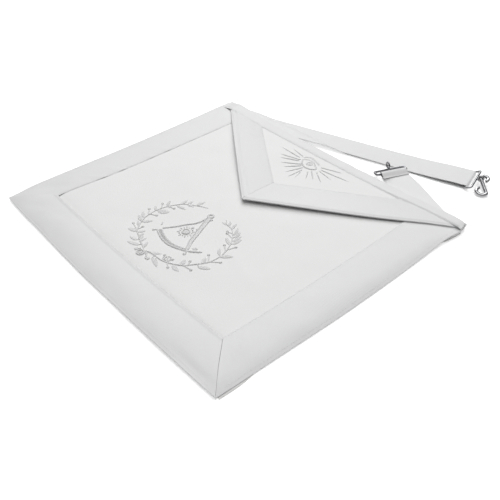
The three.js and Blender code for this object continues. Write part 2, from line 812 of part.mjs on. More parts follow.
function makeSun() {
  const middle = fromHinge(SUN_DROP, 0);
  const outline = [];
  for (let k = 0; k < 2 * SUN_RAYS; k++) {
    const angle = (Math.PI * k) / SUN_RAYS;
    const reach = k % 2 ? SUN_RADIUS : SUN_RAY;
    outline.push(
      new THREE.Vector2(middle.x + reach * Math.cos(angle), middle.y + reach * Math.sin(angle)),
    );
  }
  return sewOn(toSolid(raised(outline)), onPanel);
}

// A lens outline from corner to corner, first along the lower lid and back along the upper one.
function lensOutline(centre, length, height) {
  const steps = 8;
  const outline = [];
  for (const side of [-1, 1]) {
    for (let k = 0; k < steps; k++) {
      const share = k / steps;
      const x = side < 0 ? lerp(-length / 2, length / 2, share) : lerp(length / 2, -length / 2, share);
      const bulge = (side * height) / 2 * (1 - (2 * x / length) ** 2);
      outline.push(new THREE.Vector2(centre.x + x, centre.y + bulge));
    }
  }
  return outline;
}

function makeRadiantEye() {
  const centre = new THREE.Vector2(0, lerp(apexY, bandLow, EYE_UP));
  const lids = toSolid(raised(lensOutline(centre, EYE_LENGTH, EYE_HEIGHT)));
  const cut = raised(lensOutline(centre, EYE_LENGTH - 4 * EYE_RIM, EYE_HEIGHT - 2 * EYE_RIM));
  cut.scale(1, 1, 3).translate(0, 0, -STITCH_HEIGHT);
  const irisMiddle = centre.clone().add(new THREE.Vector2(0, EYE_HEIGHT / 2 - EYE_RIM / 2 - IRIS_RADIUS));
  let whole = lids.subtract(toSolid(cut));
  whole = whole.add(toSolid(raised(arcPoints(irisMiddle, IRIS_RADIUS, 0, 360, 12).slice(0, -1))));
  for (let k = 0; k < RAY_COUNT; k++) {
    const angle = degrees(lerp(-200, 20, k / (RAY_COUNT - 1)));
    const reach = k % 2 ? 0.78 : 1;
    const ray = new THREE.Vector2(
      RAY_SPREAD_WIDTH * reach * Math.cos(angle),
      RAY_SPREAD_HEIGHT * reach * Math.sin(angle),
    );
    const direction = Math.atan2(ray.y, ray.x);
    const rim = 1 / Math.hypot(Math.cos(direction) / (EYE_LENGTH / 2.3), Math.sin(direction) / (EYE_HEIGHT / 2.3));
    const foot = centre.clone().add(new THREE.Vector2(Math.cos(direction), Math.sin(direction)).multiplyScalar(rim));
    whole = whole.add(toSolid(raised(leafOutline(foot, direction, ray.length() - rim, RAY_WIDTH))));
  }
  return sewOn(whole, onFlap);
}

addMesh("backing", makeBacking(), lining);
addMesh("panel", makePanel(), leather);
addMesh("border_left", outward(makeSideBorder(-1)), ribbon);
addMesh("border_bottom", outward(makeBottomBorder()), ribbon);
addMesh("border_right", outward(makeSideBorder(1)), ribbon);
addMesh("flap_panel", outward(makeFlapPanel()), leather);
addMesh("flap_border_left", outward(makeFlapBorder(-1)), ribbon);
addMesh("flap_border_right", outward(makeFlapBorder(1)), ribbon);
addMesh("waistband", outward(makeWaistband()), ribbon);
addMesh("strap_long", outward(makeStrap(longStrap, longBar, longStrapLine)), ribbon);
addMesh("strap_short", outward(makeStrap(shortStrap, shortBar, shortStrapLine)), ribbon);
addMesh("slide_long", toGeometry(makeSlideSolid(LONG_RING_LIFT)).applyMatrix4(longSlideMatrix), chrome);
addMesh("slide_short", toGeometry(makeSlideSolid(SHORT_RING_LIFT)).applyMatrix4(shortSlideMatrix), chrome);
addMesh("snake_hook", makeHook().applyMatrix4(placeHook()), chrome);
addMesh("wreath", makeWreath(), thread);
addMesh("compasses", makeCompasses(), thread);
addMesh("sun", makeSun(), thread);
addMesh("radiant_eye", makeRadiantEye(), thread);

// The origin is the middle of the whole piece, straight down on the table.
const box = new THREE.Box3().setFromObject(apron);
const middle = box.getCenter(new THREE.Vector3());
apron.position.set(-middle.x, -middle.y, -box.min.z);

export default apron;
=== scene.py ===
"""Looks of a white ceremonial apron that lies on a pale table.

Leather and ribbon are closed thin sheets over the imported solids, the embroidery is raised satin
stitch, the two slides and the hook are bent polished wire. Lengths are metres.
"""

import math

import bmesh
import bpy
import numpy as np
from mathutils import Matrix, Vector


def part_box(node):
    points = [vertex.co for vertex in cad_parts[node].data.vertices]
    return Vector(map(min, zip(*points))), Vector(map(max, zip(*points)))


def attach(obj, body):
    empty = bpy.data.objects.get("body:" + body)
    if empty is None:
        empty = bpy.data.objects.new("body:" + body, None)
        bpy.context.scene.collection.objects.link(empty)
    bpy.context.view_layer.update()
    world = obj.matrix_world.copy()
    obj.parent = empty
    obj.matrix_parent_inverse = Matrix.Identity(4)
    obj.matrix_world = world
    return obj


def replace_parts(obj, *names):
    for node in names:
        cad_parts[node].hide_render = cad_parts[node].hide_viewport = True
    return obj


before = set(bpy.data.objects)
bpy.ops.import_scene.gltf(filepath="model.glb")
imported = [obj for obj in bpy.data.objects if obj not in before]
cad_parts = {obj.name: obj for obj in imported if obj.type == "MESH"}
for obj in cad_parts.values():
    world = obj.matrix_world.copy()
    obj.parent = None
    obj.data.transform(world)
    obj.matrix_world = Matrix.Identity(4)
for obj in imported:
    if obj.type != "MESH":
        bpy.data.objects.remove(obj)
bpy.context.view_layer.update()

MM = 0.001
TAU = 2 * math.pi

# The flat cut of the apron
HALF_WIDTH = 203 * MM
HALF_HEIGHT = 178 * MM
BORDER = 50 * MM
SEAM_X = HALF_WIDTH - BORDER
SEAM_Y = BORDER - HALF_HEIGHT
BORDER_ROLL = 14 * MM
BORDER_PUFF = 1.8 * MM

# The left seam stands further out than the right one, most at its lower end
LEFT_SEAM_X = 156 * MM

# How the cloth lies on the table
EDGE_BOW = 4.6 * MM
SIDE_BOW = 4.5 * MM
CORNER_PULL = 9 * MM
CLOTH_EASE = 2.4 * MM
CLOTH_REST = 0.14

# Tops of the sewn layers over the table, the thickness of each kind, and the lining's inset
LINING_TOP = 0.8 * MM
LEATHER_TOP = 2.3 * MM
BORDER_TOP = 3.5 * MM
FLAP_LEATHER_TOP = 5.0 * MM
FLAP_RIBBON_TOP = 6.1 * MM
LINING_THICK = 0.7 * MM
LINING_INSET = 2.2 * MM
LEATHER_THICK = 0.9 * MM
RIBBON_THICK = 0.6 * MM

# The waistband, how high the sheets under its fold reach, and the flap
BAND_WIDTH = 15.5 * MM
BAND_CUT = 19.2 * MM
FOLD_TOP = HALF_HEIGHT - 2.3 * MM
BAND_LOW = HALF_HEIGHT - BAND_WIDTH
FLAP_DROP = 135 * MM
APEX_Y = BAND_LOW - FLAP_DROP
REACH_LEFT = 185 * MM
REACH_RIGHT = 199 * MM
FLAP_BORDER = 41 * MM
FLAP_LIFT = 3 * MM

# Soft rises of the lying cloth: middle across and up in half sizes, spread, share of CLOTH_EASE.
RISES = (
    (-0.74, -0.7, 0.42, 0.85),
    (1.0, 0.92, 0.34, 1.0),
    (-0.98, 0.95, 0.34, 0.5),
    (0.42, 0.05, 0.36, 0.45),
    (0.55, -0.95, 0.5, 0.35),
)

band_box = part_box("waistband")
foot_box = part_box("border_bottom")
MIDDLE_X = band_box[0][0] + HALF_WIDTH
MIDDLE_Y = foot_box[0][1] + HALF_HEIGHT + EDGE_BOW


def lerp(start, end, share):
    """Between a start and an end."""
    return start + (end - start) * share


def smooth(value, low=0.0, high=1.0):
    """Nothing under low, one over high, and an S curve between them."""
    share = np.clip((value - low) / (high - low), 0, 1)
    return share * share * (3 - 2 * share)


def swell(value, middle, spread):
    """A bell curve of height one."""
    return np.exp(-(((value - middle) / spread) ** 2))


def eased(distance, low, high):
    """The S curve of smooth between two distances in mm."""
    return smooth(distance / MM, low, high)


def bell(distance, middle, spread):
    """The bell curve of swell, with its middle and spread in mm."""
    return swell(distance / MM, middle, spread)


def fading(distance, reach):
    """One at the start, dying out over a reach in mm."""
    return np.exp(-distance / (reach * MM))


def unit(vectors):
    """Vectors brought to length one."""
    return vectors / (np.linalg.norm(vectors, axis=-1, keepdims=True) + 1e-12)


def leftward(vectors):
    """Flat vectors turned a quarter to the left."""
    return np.stack([-vectors[..., 1], vectors[..., 0]], -1)


def circle(degrees):
    """Points of the unit circle at angles in degrees."""
    angle = np.radians(degrees)
    return np.stack([np.cos(angle), np.sin(angle)], -1)


def directions(lines, closed=False):
    """Unit directions along lines of points, from each point's neighbours."""
    return unit(np.roll(lines, -1, -2) - np.roll(lines, 1, -2) if closed else np.gradient(lines, axis=-2))


def distances(lines):
    """How far along its line each point is."""
    step = np.linalg.norm(np.diff(lines, axis=-2), axis=-1)
    return np.concatenate([step[..., :1] * 0, np.cumsum(step, -1)], -1)


def shares(rows, columns):
    """Even shares along and across a grid."""
    return np.meshgrid(np.linspace(0, 1, rows), np.linspace(0, 1, columns), indexing="ij")


def ripples(x, y, size, seed):
    """Uneven cloth: seven sine waves of about the given length, in chance directions, up to about one."""
    chance = np.random.default_rng(seed)
    total = 0
    for turn, phase, stretch in chance.uniform((0, 0, 0.7), (math.pi, TAU, 1.5), (7, 3)):
        run = x * math.cos(turn) + y * math.sin(turn)
        total = total + np.sin(TAU * run / (size * stretch) + phase)
    return total / 4


def rise(x, y):
    """Height of the cloth's underside: bell curves summed, less the share that its weight presses flat."""
    share = 0
    for across, up, spread, height in RISES:
        dx = (x / HALF_WIDTH - across) / spread
        dy = (y - up * HALF_HEIGHT) / (spread * HALF_WIDTH)
        share = share + height * np.exp(-dx * dx - dy * dy)
    return CLOTH_EASE * np.maximum(share - CLOTH_REST, 0)


def place(x, y, z):
    """Points of the flat cut as they lie: the middle sags to the foot, the right edge bows out, the
    bottom left corner is pulled in, outer edges run a little uneven, heights stand on the rise."""
    across, up = x / HALF_WIDTH, y / HALF_HEIGHT
    pull = CORNER_PULL * (1 - across) * (1 - up) / 4
    bow = SIDE_BOW * (1 - up * up) * (1 + across) / 2
    sag = EDGE_BOW * (1 - across * across)
    right_edge = eased(x, 160, 203)
    left_edge = eased(-x, 170, 203)
    foot_edge = eased(-y, 145, 178)
    out = right_edge * (3.9 * bell(y, 160, 18) - 0.5 - 0.9 * bell(y, -110, 60))
    out = out - left_edge * (0.6 + 1.2 * bell(y, 100, 45) - 3.2 * eased(-y, 140, 178))
    up_a_little = (1.1 + 0.8 * eased(x, -20, 50)) * foot_edge * eased(x, -165, -110)
    lying_x = x + pull + bow + out * MM + MIDDLE_X
    lying_y = y - sag + up_a_little * MM + MIDDLE_Y
    return np.stack([lying_x, lying_y, z + rise(x, y)], -1)


class Value:
    """A socket of a material with Python arithmetic: each operator adds its Math node."""

    def __init__(self, finish, socket):
        self.finish = finish
        self.socket = socket

    def math(self, operation, *others):
        sockets = dict(enumerate((self, *others)))
        return self.finish.node("ShaderNodeMath", {"operation": operation}, sockets)

    def __add__(self, other):
        return self.math("ADD", other)

    def __mul__(self, other):
        return self.math("MULTIPLY", other)


class Finish:
    """A material being made: node() adds any node, and surface() closes it with one shader."""

    def __init__(self, name):
        self.material = bpy.data.materials.new(name)
        self.material.use_nodes = True
        self.tree = self.material.node_tree
        self.tree.nodes.clear()

    def node(self, kind, settings, sockets, output=0):
        made = self.tree.nodes.new(kind)
        for key, setting in settings.items():
            setattr(made, key, setting)
        for key, value in sockets.items():
            if isinstance(value, Value):
                self.tree.links.new(value.socket, made.inputs[key])
            else:
                made.inputs[key].default_value = value
        return None if output is None else Value(self, made.outputs[output])

    def object_place(self):
        return self.node("ShaderNodeTexCoord", {}, {}, "Object")

    def along_and_across(self):
        """The piece's own UV map in metres, as one value along the cloth and one across it."""
        chart = self.node("ShaderNodeUVMap", {"uv_map": "UVMap"}, {})
        split = self.node("ShaderNodeSeparateXYZ", {}, {"Vector": chart}, "X")
        return split, Value(self, split.socket.node.outputs["Y"])

    def noise(self, scale, detail=2.0):
        sockets = {"Vector": self.object_place(), "Scale": scale, "Detail": detail}
        return self.node("ShaderNodeTexNoise", {}, sockets, "Fac")

    def wave(self, run, period):
        """A sine from 0 to 1 of the given period."""
        return (run * (TAU / period)).math("SINE") * 0.5 + 0.5

    def mix(self, share, first, second):
        """A colour between two colours; sockets 0, 6, 7 and 2 are a colour mix's share, ends and result."""
        sockets = {0: share, 6: (*first, 1), 7: (*second, 1)}
        return self.node("ShaderNodeMix", {"data_type": "RGBA"}, sockets, 2)

    def surface(self, constants, color, roughness, normal=None):
        sockets = {"Base Color": color, "Roughness": roughness, **constants}
        if normal:
            sockets["Normal"] = normal
        shader = self.node("ShaderNodeBsdfPrincipled", {}, sockets)
        self.node("ShaderNodeOutputMaterial", {}, {"Surface": shader}, None)
        return self.material

    def relief(self, height, depth):
        """Normals of a relief whose value of one is depth metres high."""
        return self.node("ShaderNodeBump", {}, {"Height": height, "Distance": depth, "Strength": 1.0})


def leather_finish():
    """Matt white lambskin: a pebble of 1.5 mm cells over faint broad unevenness."""
    skin = Finish("white_leather")
    sockets = {"Vector": skin.object_place(), "Scale": 620.0}
    cells = skin.node("ShaderNodeTexVoronoi", {}, sockets, "Distance")
    pores = skin.noise(1500.0)
    clouds = skin.noise(24.0, 3.0)
    color = skin.mix(clouds, (0.715, 0.715, 0.712), (0.77, 0.77, 0.767))
    normal = skin.relief(cells * 0.7 + pores * 0.4 + clouds * 0.8, 0.12 * MM)
    roughness = clouds * 0.12 + 0.5
    constants = {"Specular IOR Level": 0.35, "Sheen Weight": 0.08}
    return skin.surface(constants, color, roughness, normal)


def ribbon_finish(name, light, dark, rib, depth):
    """Ribbed ribbon: weft ribs across its length, a fine warp along it and faint uneven sheen."""
    weave = Finish(name)
    along, across = weave.along_and_across()
    uneven = weave.noise(55.0, 3.0)
    ribs = weave.wave(along + uneven * 0.3 * MM, rib)
    warp = weave.wave(across, 0.45 * MM)
    color = weave.mix(ribs * 0.5 + uneven * 0.5, dark, light)
    normal = weave.relief(ribs + warp * 0.2 + uneven * 1.2, depth)
    roughness = uneven * 0.14 + 0.42
    constants = {"Specular IOR Level": 0.4, "Sheen Weight": 0.2, "Sheen Roughness": 0.4}
    return weave.surface(constants, color, roughness, normal)


def lining_finish():
    """Plain cotton: threads of 0.6 mm over and under each other."""
    cloth = Finish("cotton_lining")
    along, across = cloth.along_and_across()
    weave = cloth.wave(along, 1.2 * MM) * cloth.wave(across, 1.2 * MM)
    slubs = cloth.noise(160.0)
    color = cloth.mix(weave * 0.6 + slubs * 0.4, (0.62, 0.62, 0.61), (0.72, 0.72, 0.71))
    normal = cloth.relief(weave + slubs * 0.5, 0.15 * MM)
    roughness = slubs * 0.1 + 0.78
    return cloth.surface({"Specular IOR Level": 0.2}, color, roughness, normal)


def thread_finish():
    """Satin stitch: threads of 0.4 mm that slant away from the middle of each stitched shape."""
    thread = Finish("satin_thread")
    along, across = thread.along_and_across()
    slant = across.math("ABSOLUTE") * 0.6
    strands = thread.wave(along + slant, 0.42 * MM)
    uneven = thread.noise(300.0)
    color = thread.mix(strands * 0.7 + uneven * 0.3, (0.7, 0.7, 0.7), (0.82, 0.82, 0.815))
    normal = thread.relief(strands + uneven * 0.3, 0.1 * MM)
    roughness = uneven * 0.1 + 0.34
    constants = {"Specular IOR Level": 0.5, "Sheen Weight": 0.15}
    return thread.surface(constants, color, roughness, normal)


def chrome_finish(name, dark, light):
    """Polished nickel wire, between two greys, with faint handling marks."""
    metal = Finish(name)
    marks = metal.noise(420.0, 4.0)
    color = metal.mix(marks, (dark, dark, dark + 0.01), (light, light, light + 0.01))
    roughness = marks * 0.1 + 0.08
    normal = metal.relief(marks, 0.01 * MM)
    return metal.surface({"Metallic": 1.0}, color, roughness, normal)


def floor_finish():
    """A white table lit a little from below, as for a catalogue picture."""
    table = Finish("pale_table")
    grain = table.noise(3.0)
    color = table.mix(grain, (0.93, 0.93, 0.93), (0.95, 0.95, 0.95))
    roughness = grain * 0.05 + 0.85
    constants = {"Specular IOR Level": 0.1, "Emission Color": (1, 1, 1, 1), "Emission Strength": 0.35}
    return table.surface(constants, color, roughness)


LEATHER = leather_finish()
RIBBON = ribbon_finish("ribbed_ribbon", (0.725, 0.725, 0.728), (0.675, 0.675, 0.678), 1.5 * MM, 0.07 * MM)
# A lighter copy of the ribbon for the right flap ribbon only; the left one keeps the darker RIBBON, so the
# step between the flap's two ribbons is painted light and shade.
FLAP_RIBBON = ribbon_finish("flap_ribbon", (0.745, 0.745, 0.748), (0.7, 0.7, 0.703), 1.3 * MM, 0.07 * MM)
STRAP_RIBBON = ribbon_finish("strap_ribbon", (0.74, 0.74, 0.743), (0.71, 0.71, 0.713), 1.1 * MM, 0.03 * MM)
LINING = lining_finish()
THREAD = thread_finish()
# Nickel's own grey, darkened well below it to paint in the dark reflections along the wire.
CHROME = chrome_finish("polished_nickel", 0.38, 0.48)
# The same nickel again, with much darker greys as painted shade and dark reflections for the short slide.
PAINTED_SHADE_NICKEL = chrome_finish("nickel_with_painted_shade", 0.17, 0.26)


def add_object(name, data):
    """An object of the scene that carries a mesh, a light or a lens."""
    made = bpy.data.objects.new(name, data)
    bpy.context.scene.collection.objects.link(made)
    return made


def add_piece(name, points, quads, chart, finish, sharp=38):
    """A mesh object from arrays: doubles at poles merged, faces turned outwards, smooth but for edges.
    The chart, its UV in metres, is each point's distance along and its distance across."""
    along, across, _ = np.broadcast_arrays(*chart, points[..., 0])
    chart = np.stack([along, across], -1).reshape(-1, 2)
    points = points.reshape(-1, 3)
    mesh = bpy.data.meshes.new(name)
    mesh.vertices.add(len(points))
    mesh.vertices.foreach_set("co", points.ravel())
    mesh.loops.add(quads.size)
    mesh.loops.foreach_set("vertex_index", quads.ravel())
    mesh.polygons.add(len(quads))
    mesh.polygons.foreach_set("loop_start", np.arange(0, quads.size, 4))
    mesh.update(calc_edges=True)
    layer = mesh.uv_layers.new(name="UVMap")
    layer.data.foreach_set("uv", chart[quads.ravel()].ravel())
    shape = bmesh.new()
    shape.from_mesh(mesh)
    bmesh.ops.remove_doubles(shape, verts=shape.verts, dist=1e-7)
    bmesh.ops.recalc_face_normals(shape, faces=shape.faces)
    shape.to_mesh(mesh)
    shape.free()
    mesh.shade_smooth()
    mesh.set_sharp_from_angle(angle=math.radians(sharp))
    mesh.materials.append(finish)
    piece = add_object(name, mesh)
    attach(piece, "root")
    return piece


def quad_rows(a, b, c, d):
    """Faces from the numbers of their four corners."""
    return np.stack([a, b, c, d], -1).reshape(-1, 4)


def shell_quads(rows, columns):
    """Faces of a closed shell: an upper grid, a lower grid and the strip round their rims."""
    index = np.arange(rows * columns).reshape(rows, columns)
    upper = quad_rows(index[:-1, :-1], index[1:, :-1], index[1:, 1:], index[:-1, 1:])
    rim = np.concatenate([index[:, 0], index[-1, 1:], index[-2::-1, -1], index[0, -2:0:-1]])
    after = np.roll(rim, -1)
    count = rows * columns
    strip = quad_rows(rim, after, after + count, rim + count)
    return np.concatenate([upper, upper[:, ::-1] + count, strip])


def tube_quads(many, stations, around, closed=False):
    """Faces of many alike tubes: rows of stations with so many points round each."""
    index = np.arange(many * stations * around).reshape(many, stations, around)
    here, ahead = (index, np.roll(index, -1, 1)) if closed else (index[:, :-1], index[:, 1:])
    return quad_rows(here, np.roll(here, -1, 2), np.roll(ahead, -1, 2), ahead)


def upward(points):
    """Unit normals of a grid of points, on the side that looks up along its first rows."""
    normal = unit(np.cross(np.gradient(points, axis=0), np.gradient(points, axis=1)))
    return normal if normal[:3, :, 2].mean() > 0 else -normal


def add_sheet(name, top, thick, chart, finish):
    """A closed sheet: the top grid, and the same grid lowered along its normals by the thickness."""
    low = top - upward(top) * thick
    return add_piece(name, np.stack([top, low]), shell_quads(*top.shape[:2]), chart, finish)


def leather_top(x, y):
    """Top of the leather: soft waves and creases that die out at the seams and under the flap."""
    inside = np.minimum(SEAM_X - np.abs(x), y - SEAM_Y)
    fade = eased(inside, 3, 40) * (1 - 0.7 * smooth(y, APEX_Y, BAND_LOW))
    waves = 0.42 * ripples(x, y, 120 * MM, 3) + 0.12 * ripples(x, y, 45 * MM, 8)
    crease = bell(y + 0.35 * x, -20, 7) * bell(x, 70, 45)
    dip = 0.9 * fading(np.maximum(y - SEAM_Y, 0), 4.5)
    return LEATHER_TOP + (fade * (waves + 0.45 * crease) - dip) * MM


def make_lining():
    """Flat grid just inside the apron's outline, from the foot to short of the strap roots. It shows a
    little past the border at the right foot corner and below the waistband's right end."""
    u, v = shares(60, 50)
    width = 2 * (HALF_WIDTH - LINING_INSET)
    length = BAND_LOW - 3 * MM + HALF_HEIGHT - LINING_INSET
    x = -HALF_WIDTH + LINING_INSET + u * width
    y = -HALF_HEIGHT + LINING_INSET + v * length
    right_edge = eased(x, 180, 200)
    shown = 4.9 * eased(-y, 112, 158) + 4.2 * eased(y, 128, 136)
    top = place(x + shown * MM * right_edge, y, np.full_like(x, LINING_TOP))
    piece = add_sheet("cotton_back", top, LINING_THICK, (u * width, v * length), LINING)
    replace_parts(piece, "backing")


def make_leather():
    """Flat grid from under the borders up into the waistband's fold, topped by leather_top."""
    u, v = shares(170, 150)
    width = 2 * (HALF_WIDTH - BORDER_ROLL)
    length = 2 * HALF_HEIGHT - BORDER_ROLL - 3 * MM
    x = -width / 2 + u * width
    y = BORDER_ROLL - HALF_HEIGHT + v * length
    top = place(x, y, leather_top(x, y))
    chart = (u * width, v * length)
    piece = add_sheet("leather_body", top, LEATHER_THICK, chart, LEATHER)
    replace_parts(piece, "panel")


def seam_drop(x):
    """How much lower than at the middle the waistband's seam runs: it grows with the square of x."""
    return 2.4 * MM * (x / HALF_WIDTH) ** 2


def edge_y(x):
    """The flap's edge line: straight up from its point to its reach on either side."""
    return APEX_Y + FLAP_DROP * np.abs(x) / np.where(x < 0, REACH_LEFT, REACH_RIGHT)


def flap_lift(x, y):
    """How far the flap stands off: a power of the way from its fold to its point, up to FLAP_LIFT, and
    a bell curve more along the middle of its left edge."""
    down = np.clip((BAND_LOW - y) / FLAP_DROP, 0, 1)
    left_edge = fading(np.maximum(y - edge_y(x), 0), 16) * eased(-x, 10, 50)
    return FLAP_LIFT * down**1.4 + 4.3 * MM * left_edge * bell(y, 100, 38)


class Ribbon:
    """A ribbon sewn along an edge: a quad between an inner and an outer line of the flat cut.

    The share runs from the inner seam, 0, to the outer edge, 1; past 1 the ribbon turns round the edge
    on an arc of radius turn, or of radius turn_end at its waistband end, and goes under.
    height(x, y, share, along) is its top. Near its far end the inner line bends off by bend, in mm.
    """

    def __init__(self, inner, outer, width, turn, turn_end, height, bend=(0, 0)):
        self.inner = np.array(inner)
        self.outer = np.array(outer)
        self.width = width
        self.turn = turn
        self.turn_end = turn_end
        self.height = height
        self.bend = np.array(bend) * MM
        self.length = np.linalg.norm(self.outer[1] - self.outer[0])

    def surface(self, u, share, sink=0.0):
        """Lying points: u of the way along both lines and share of the way from the inner one to the
        outer one, at the ribbon's height there, lowered by sink."""
        inner = lerp(self.inner[0], self.inner[1], u[..., None])
        outer = lerp(self.outer[0], self.outer[1], u[..., None])
        inner = inner + self.bend * smooth(u, 0.72, 1.0)[..., None]
        flat = lerp(inner, outer, share[..., None])
        level = lerp(inner, outer, np.minimum(share, 1)[..., None])
        run = u * self.length
        z = self.height(level[..., 0], level[..., 1], np.minimum(share, 1), run) - sink
        return place(flat[..., 0], flat[..., 1], z)

    def sheet(self, name, thick, finish, along=150, across=34):
        """The ribbon's closed sheet, denser near both of its edges, with its rim turned under."""
        flat = 0.5 - 0.5 * np.cos(np.linspace(0, math.pi, across))
        rim = np.radians(np.linspace(15, 165, 10))
        angle = np.concatenate([flat * 0, rim])
        flat = np.concatenate([flat, rim * 0 + 1])
        u, angle = np.meshgrid(np.linspace(0, 1, along), angle, indexing="ij")
        turn = lerp(self.turn_end, self.turn, smooth(u, 0.04, 0.16))
        share = flat + turn * np.sin(angle) / self.width
        sink = turn * (1 - np.cos(angle))
        reach = flat * self.width + turn * angle
        top = self.surface(u, share, sink)
        return add_sheet(name, top, thick, (u * self.length, reach), finish)


def pucker(run, share, width, seed):
    """Gathers that the stitches pull in: waves along the ribbon that die out away from both edges."""
    near = fading(share * width, 5) + 0.6 * fading((1 - share) * width, 7)
    return 0.13 * MM * ripples(run, 0, 17 * MM, seed) * near


# Where each border's inner edge stands off the leather: middle and spread as shares of its length,
# height in mm
GAPS = {
    "left": ((0.475, 0.02, 0.45), (0.555, 0.014, 0.35), (0.705, 0.014, 0.55), (0.797, 0.018, 0.6)),
    "bottom": ((0.3, 0.04, 0.15), (0.72, 0.05, 0.2)),
    "right": ((0.45, 0.05, 0.15), (0.7, 0.05, 0.15)),
}

# Soft dimples of the borders: middle along and share across, spread along and share across, depth,
# lengths in mm
DIMPLES = {
    "left": ((325, 0.5, 13, 0.3, 0.7), (210, 0.62, 40, 0.25, 0.3)),
    "bottom": (
        (34, 0.6, 13, 0.25, 0.6), (64, 0.35, 13, 0.22, 0.5), (120, 0.8, 26, 0.2, 0.4),
        (230, 0.8, 30, 0.2, 0.5), (374, 0.88, 26, 0.1, 0.9), (385, 0.6, 12, 0.3, 0.5),
    ),
    "right": ((330, 0.7, 14, 0.3, 0.7), (300, 0.5, 12, 0.3, 0.4), (150, 0.5, 45, 0.3, 0.3)),
}

# Each border's crown, as a share of BORDER_PUFF, and how far its outer edge rolls down, in mm
CROWNS = {"left": 0.45, "bottom": 1, "right": 1}
ROLLS = {"left": 0.9, "bottom": 0.8, "right": 1.7}


def border_height(side, seed):
    """Top of a border: puffed between seam and edge except under the flap, its outer edge rolled down
    except near the waistband, with gathers, dimples and stretches where its inner edge stands off."""
    length = 2 * HALF_WIDTH if side == "bottom" else 2 * HALF_HEIGHT

    def height(x, y, share, run):
        arch = np.sin(math.pi * share) * (1 - smooth(y, APEX_Y, edge_y(np.array(-SEAM_X)) - BORDER_ROLL))
        puff = CROWNS[side] * BORDER_PUFF * arch
        roll = 1 - smooth(y, BAND_LOW - BORDER, BAND_LOW - BORDER_ROLL)
        drop = ROLLS[side] * roll * np.clip((share - 0.7) / 0.3, 0, 1) ** 2
        near = share * BORDER
        if side == "left":
            seam = -0.8 * fading(near, 6) - 0.1 * fading(near, 0.8)
        elif side == "bottom":
            bead = 0.8 * bell(near, 2.2, 1.5)
            seam = lerp(-0.2, 0.5, smooth(run / length)) + bead - 0.5 * fading(near, 1.2)
        else:
            seam = 0.25 * bell(near, 2.0, 1.4) - 0.5 * fading(near, 1.2)
        soft = 0.25 * ripples(x, y, 60 * MM, seed) * arch
        top = BORDER_TOP + puff + (seam - drop + soft) * MM + pucker(run, share, BORDER, seed + 1)
        for middle, spread, lift in GAPS[side]:
            top = top + lift * MM * swell(run / length, middle, spread) * fading(near, 9)
        for middle, across, spread, wide, depth in DIMPLES[side]:
            top = top - depth * MM * bell(run, middle, spread) * swell(share, across, wide)
        return top

    return height


def make_borders():
    """Three mitred ribbons round the leather, each turned under at the apron's edge."""
    slack = 0.3 * MM
    lines = {
        "left": (
            ((-LEFT_SEAM_X, FOLD_TOP), (-LEFT_SEAM_X - 1.5 * MM, SEAM_Y - 3 * MM + slack)),
            ((-HALF_WIDTH - 1.2 * MM, FOLD_TOP), (-HALF_WIDTH, slack - HALF_HEIGHT)),
        ),
        "bottom": (
            ((-LEFT_SEAM_X - 4.5 * MM, SEAM_Y - 3 * MM), (SEAM_X, SEAM_Y)),
            ((-HALF_WIDTH, -HALF_HEIGHT), (HALF_WIDTH, -HALF_HEIGHT)),
        ),
        "right": (
            ((SEAM_X, FOLD_TOP), (SEAM_X, SEAM_Y + slack)),
            ((HALF_WIDTH, FOLD_TOP), (HALF_WIDTH, slack - HALF_HEIGHT)),
        ),
    }
    borders = {}
    for seed, (side, (inner, outer)) in enumerate(lines.items()):
        turn_end = 0.55 * MM if side == "bottom" else 1.5 * MM
        bend = (-3, 0) if side == "left" else (0, 0)
        ribbon = Ribbon(inner, outer, BORDER, 0.55 * MM, turn_end, border_height(side, 20 + seed), bend)
        piece = ribbon.sheet(f"border_ribbon_{side}", 0.4 * MM, RIBBON)
        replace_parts(piece, f"border_{side}")
        borders[side] = ribbon
    return borders


def flap_leather_top(x, y):
    """Top of the flap's leather: its lift and soft waves away from its seams."""
    fade = eased(y - edge_y(x), 30, 55) * eased(BAND_LOW - y, 0, 20)
    return FLAP_LEATHER_TOP + flap_lift(x, y) + 0.25 * MM * fade * ripples(x, y, 60 * MM, 31)


def make_flap_leather():
    """Grid of the flap from the waistband's fold to its point, narrowing along both edge lines."""
    u, v = shares(110, 80)
    low = APEX_Y + 5 * MM
    y = lerp(FOLD_TOP, low, v)
    share = np.minimum((y - APEX_Y) / FLAP_DROP, 1)
    inset = 5.5 * MM
    x = lerp(inset - REACH_LEFT * share, REACH_RIGHT * share - inset, u)
    top = place(x, y, flap_leather_top(x, y))
    piece = add_sheet("flap_leather", top, LEATHER_THICK, (x, y), LEATHER)
    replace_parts(piece, "flap_panel")


def flap_ribbon_height(side):
    """Top of a flap ribbon: the flap's lift, a soft crown, gathers along its edges, a rolled rim, and on
    the left one a fold along it and a crease across it."""
    seed = 40 + side

    def height(x, y, share, run):
        arch = np.sin(math.pi * share)
        rim = 0.7 * smooth(share, 0.92, 1.0) + 0.4 * fading(share * FLAP_BORDER, 1.2)
        soft = 0.2 * ripples(x, y, 45 * MM, seed) * arch
        if side < 0:
            rim = rim + 0.3 * swell(share, 0.83, 0.025) + 0.25 * bell(run, 62, 2.2) * swell(share, 0.4, 0.35)
        relief = (0.5 * arch + soft - rim) * MM + pucker(run, share, FLAP_BORDER, seed + 1)
        return FLAP_RIBBON_TOP + flap_lift(x, y) + relief

    return height


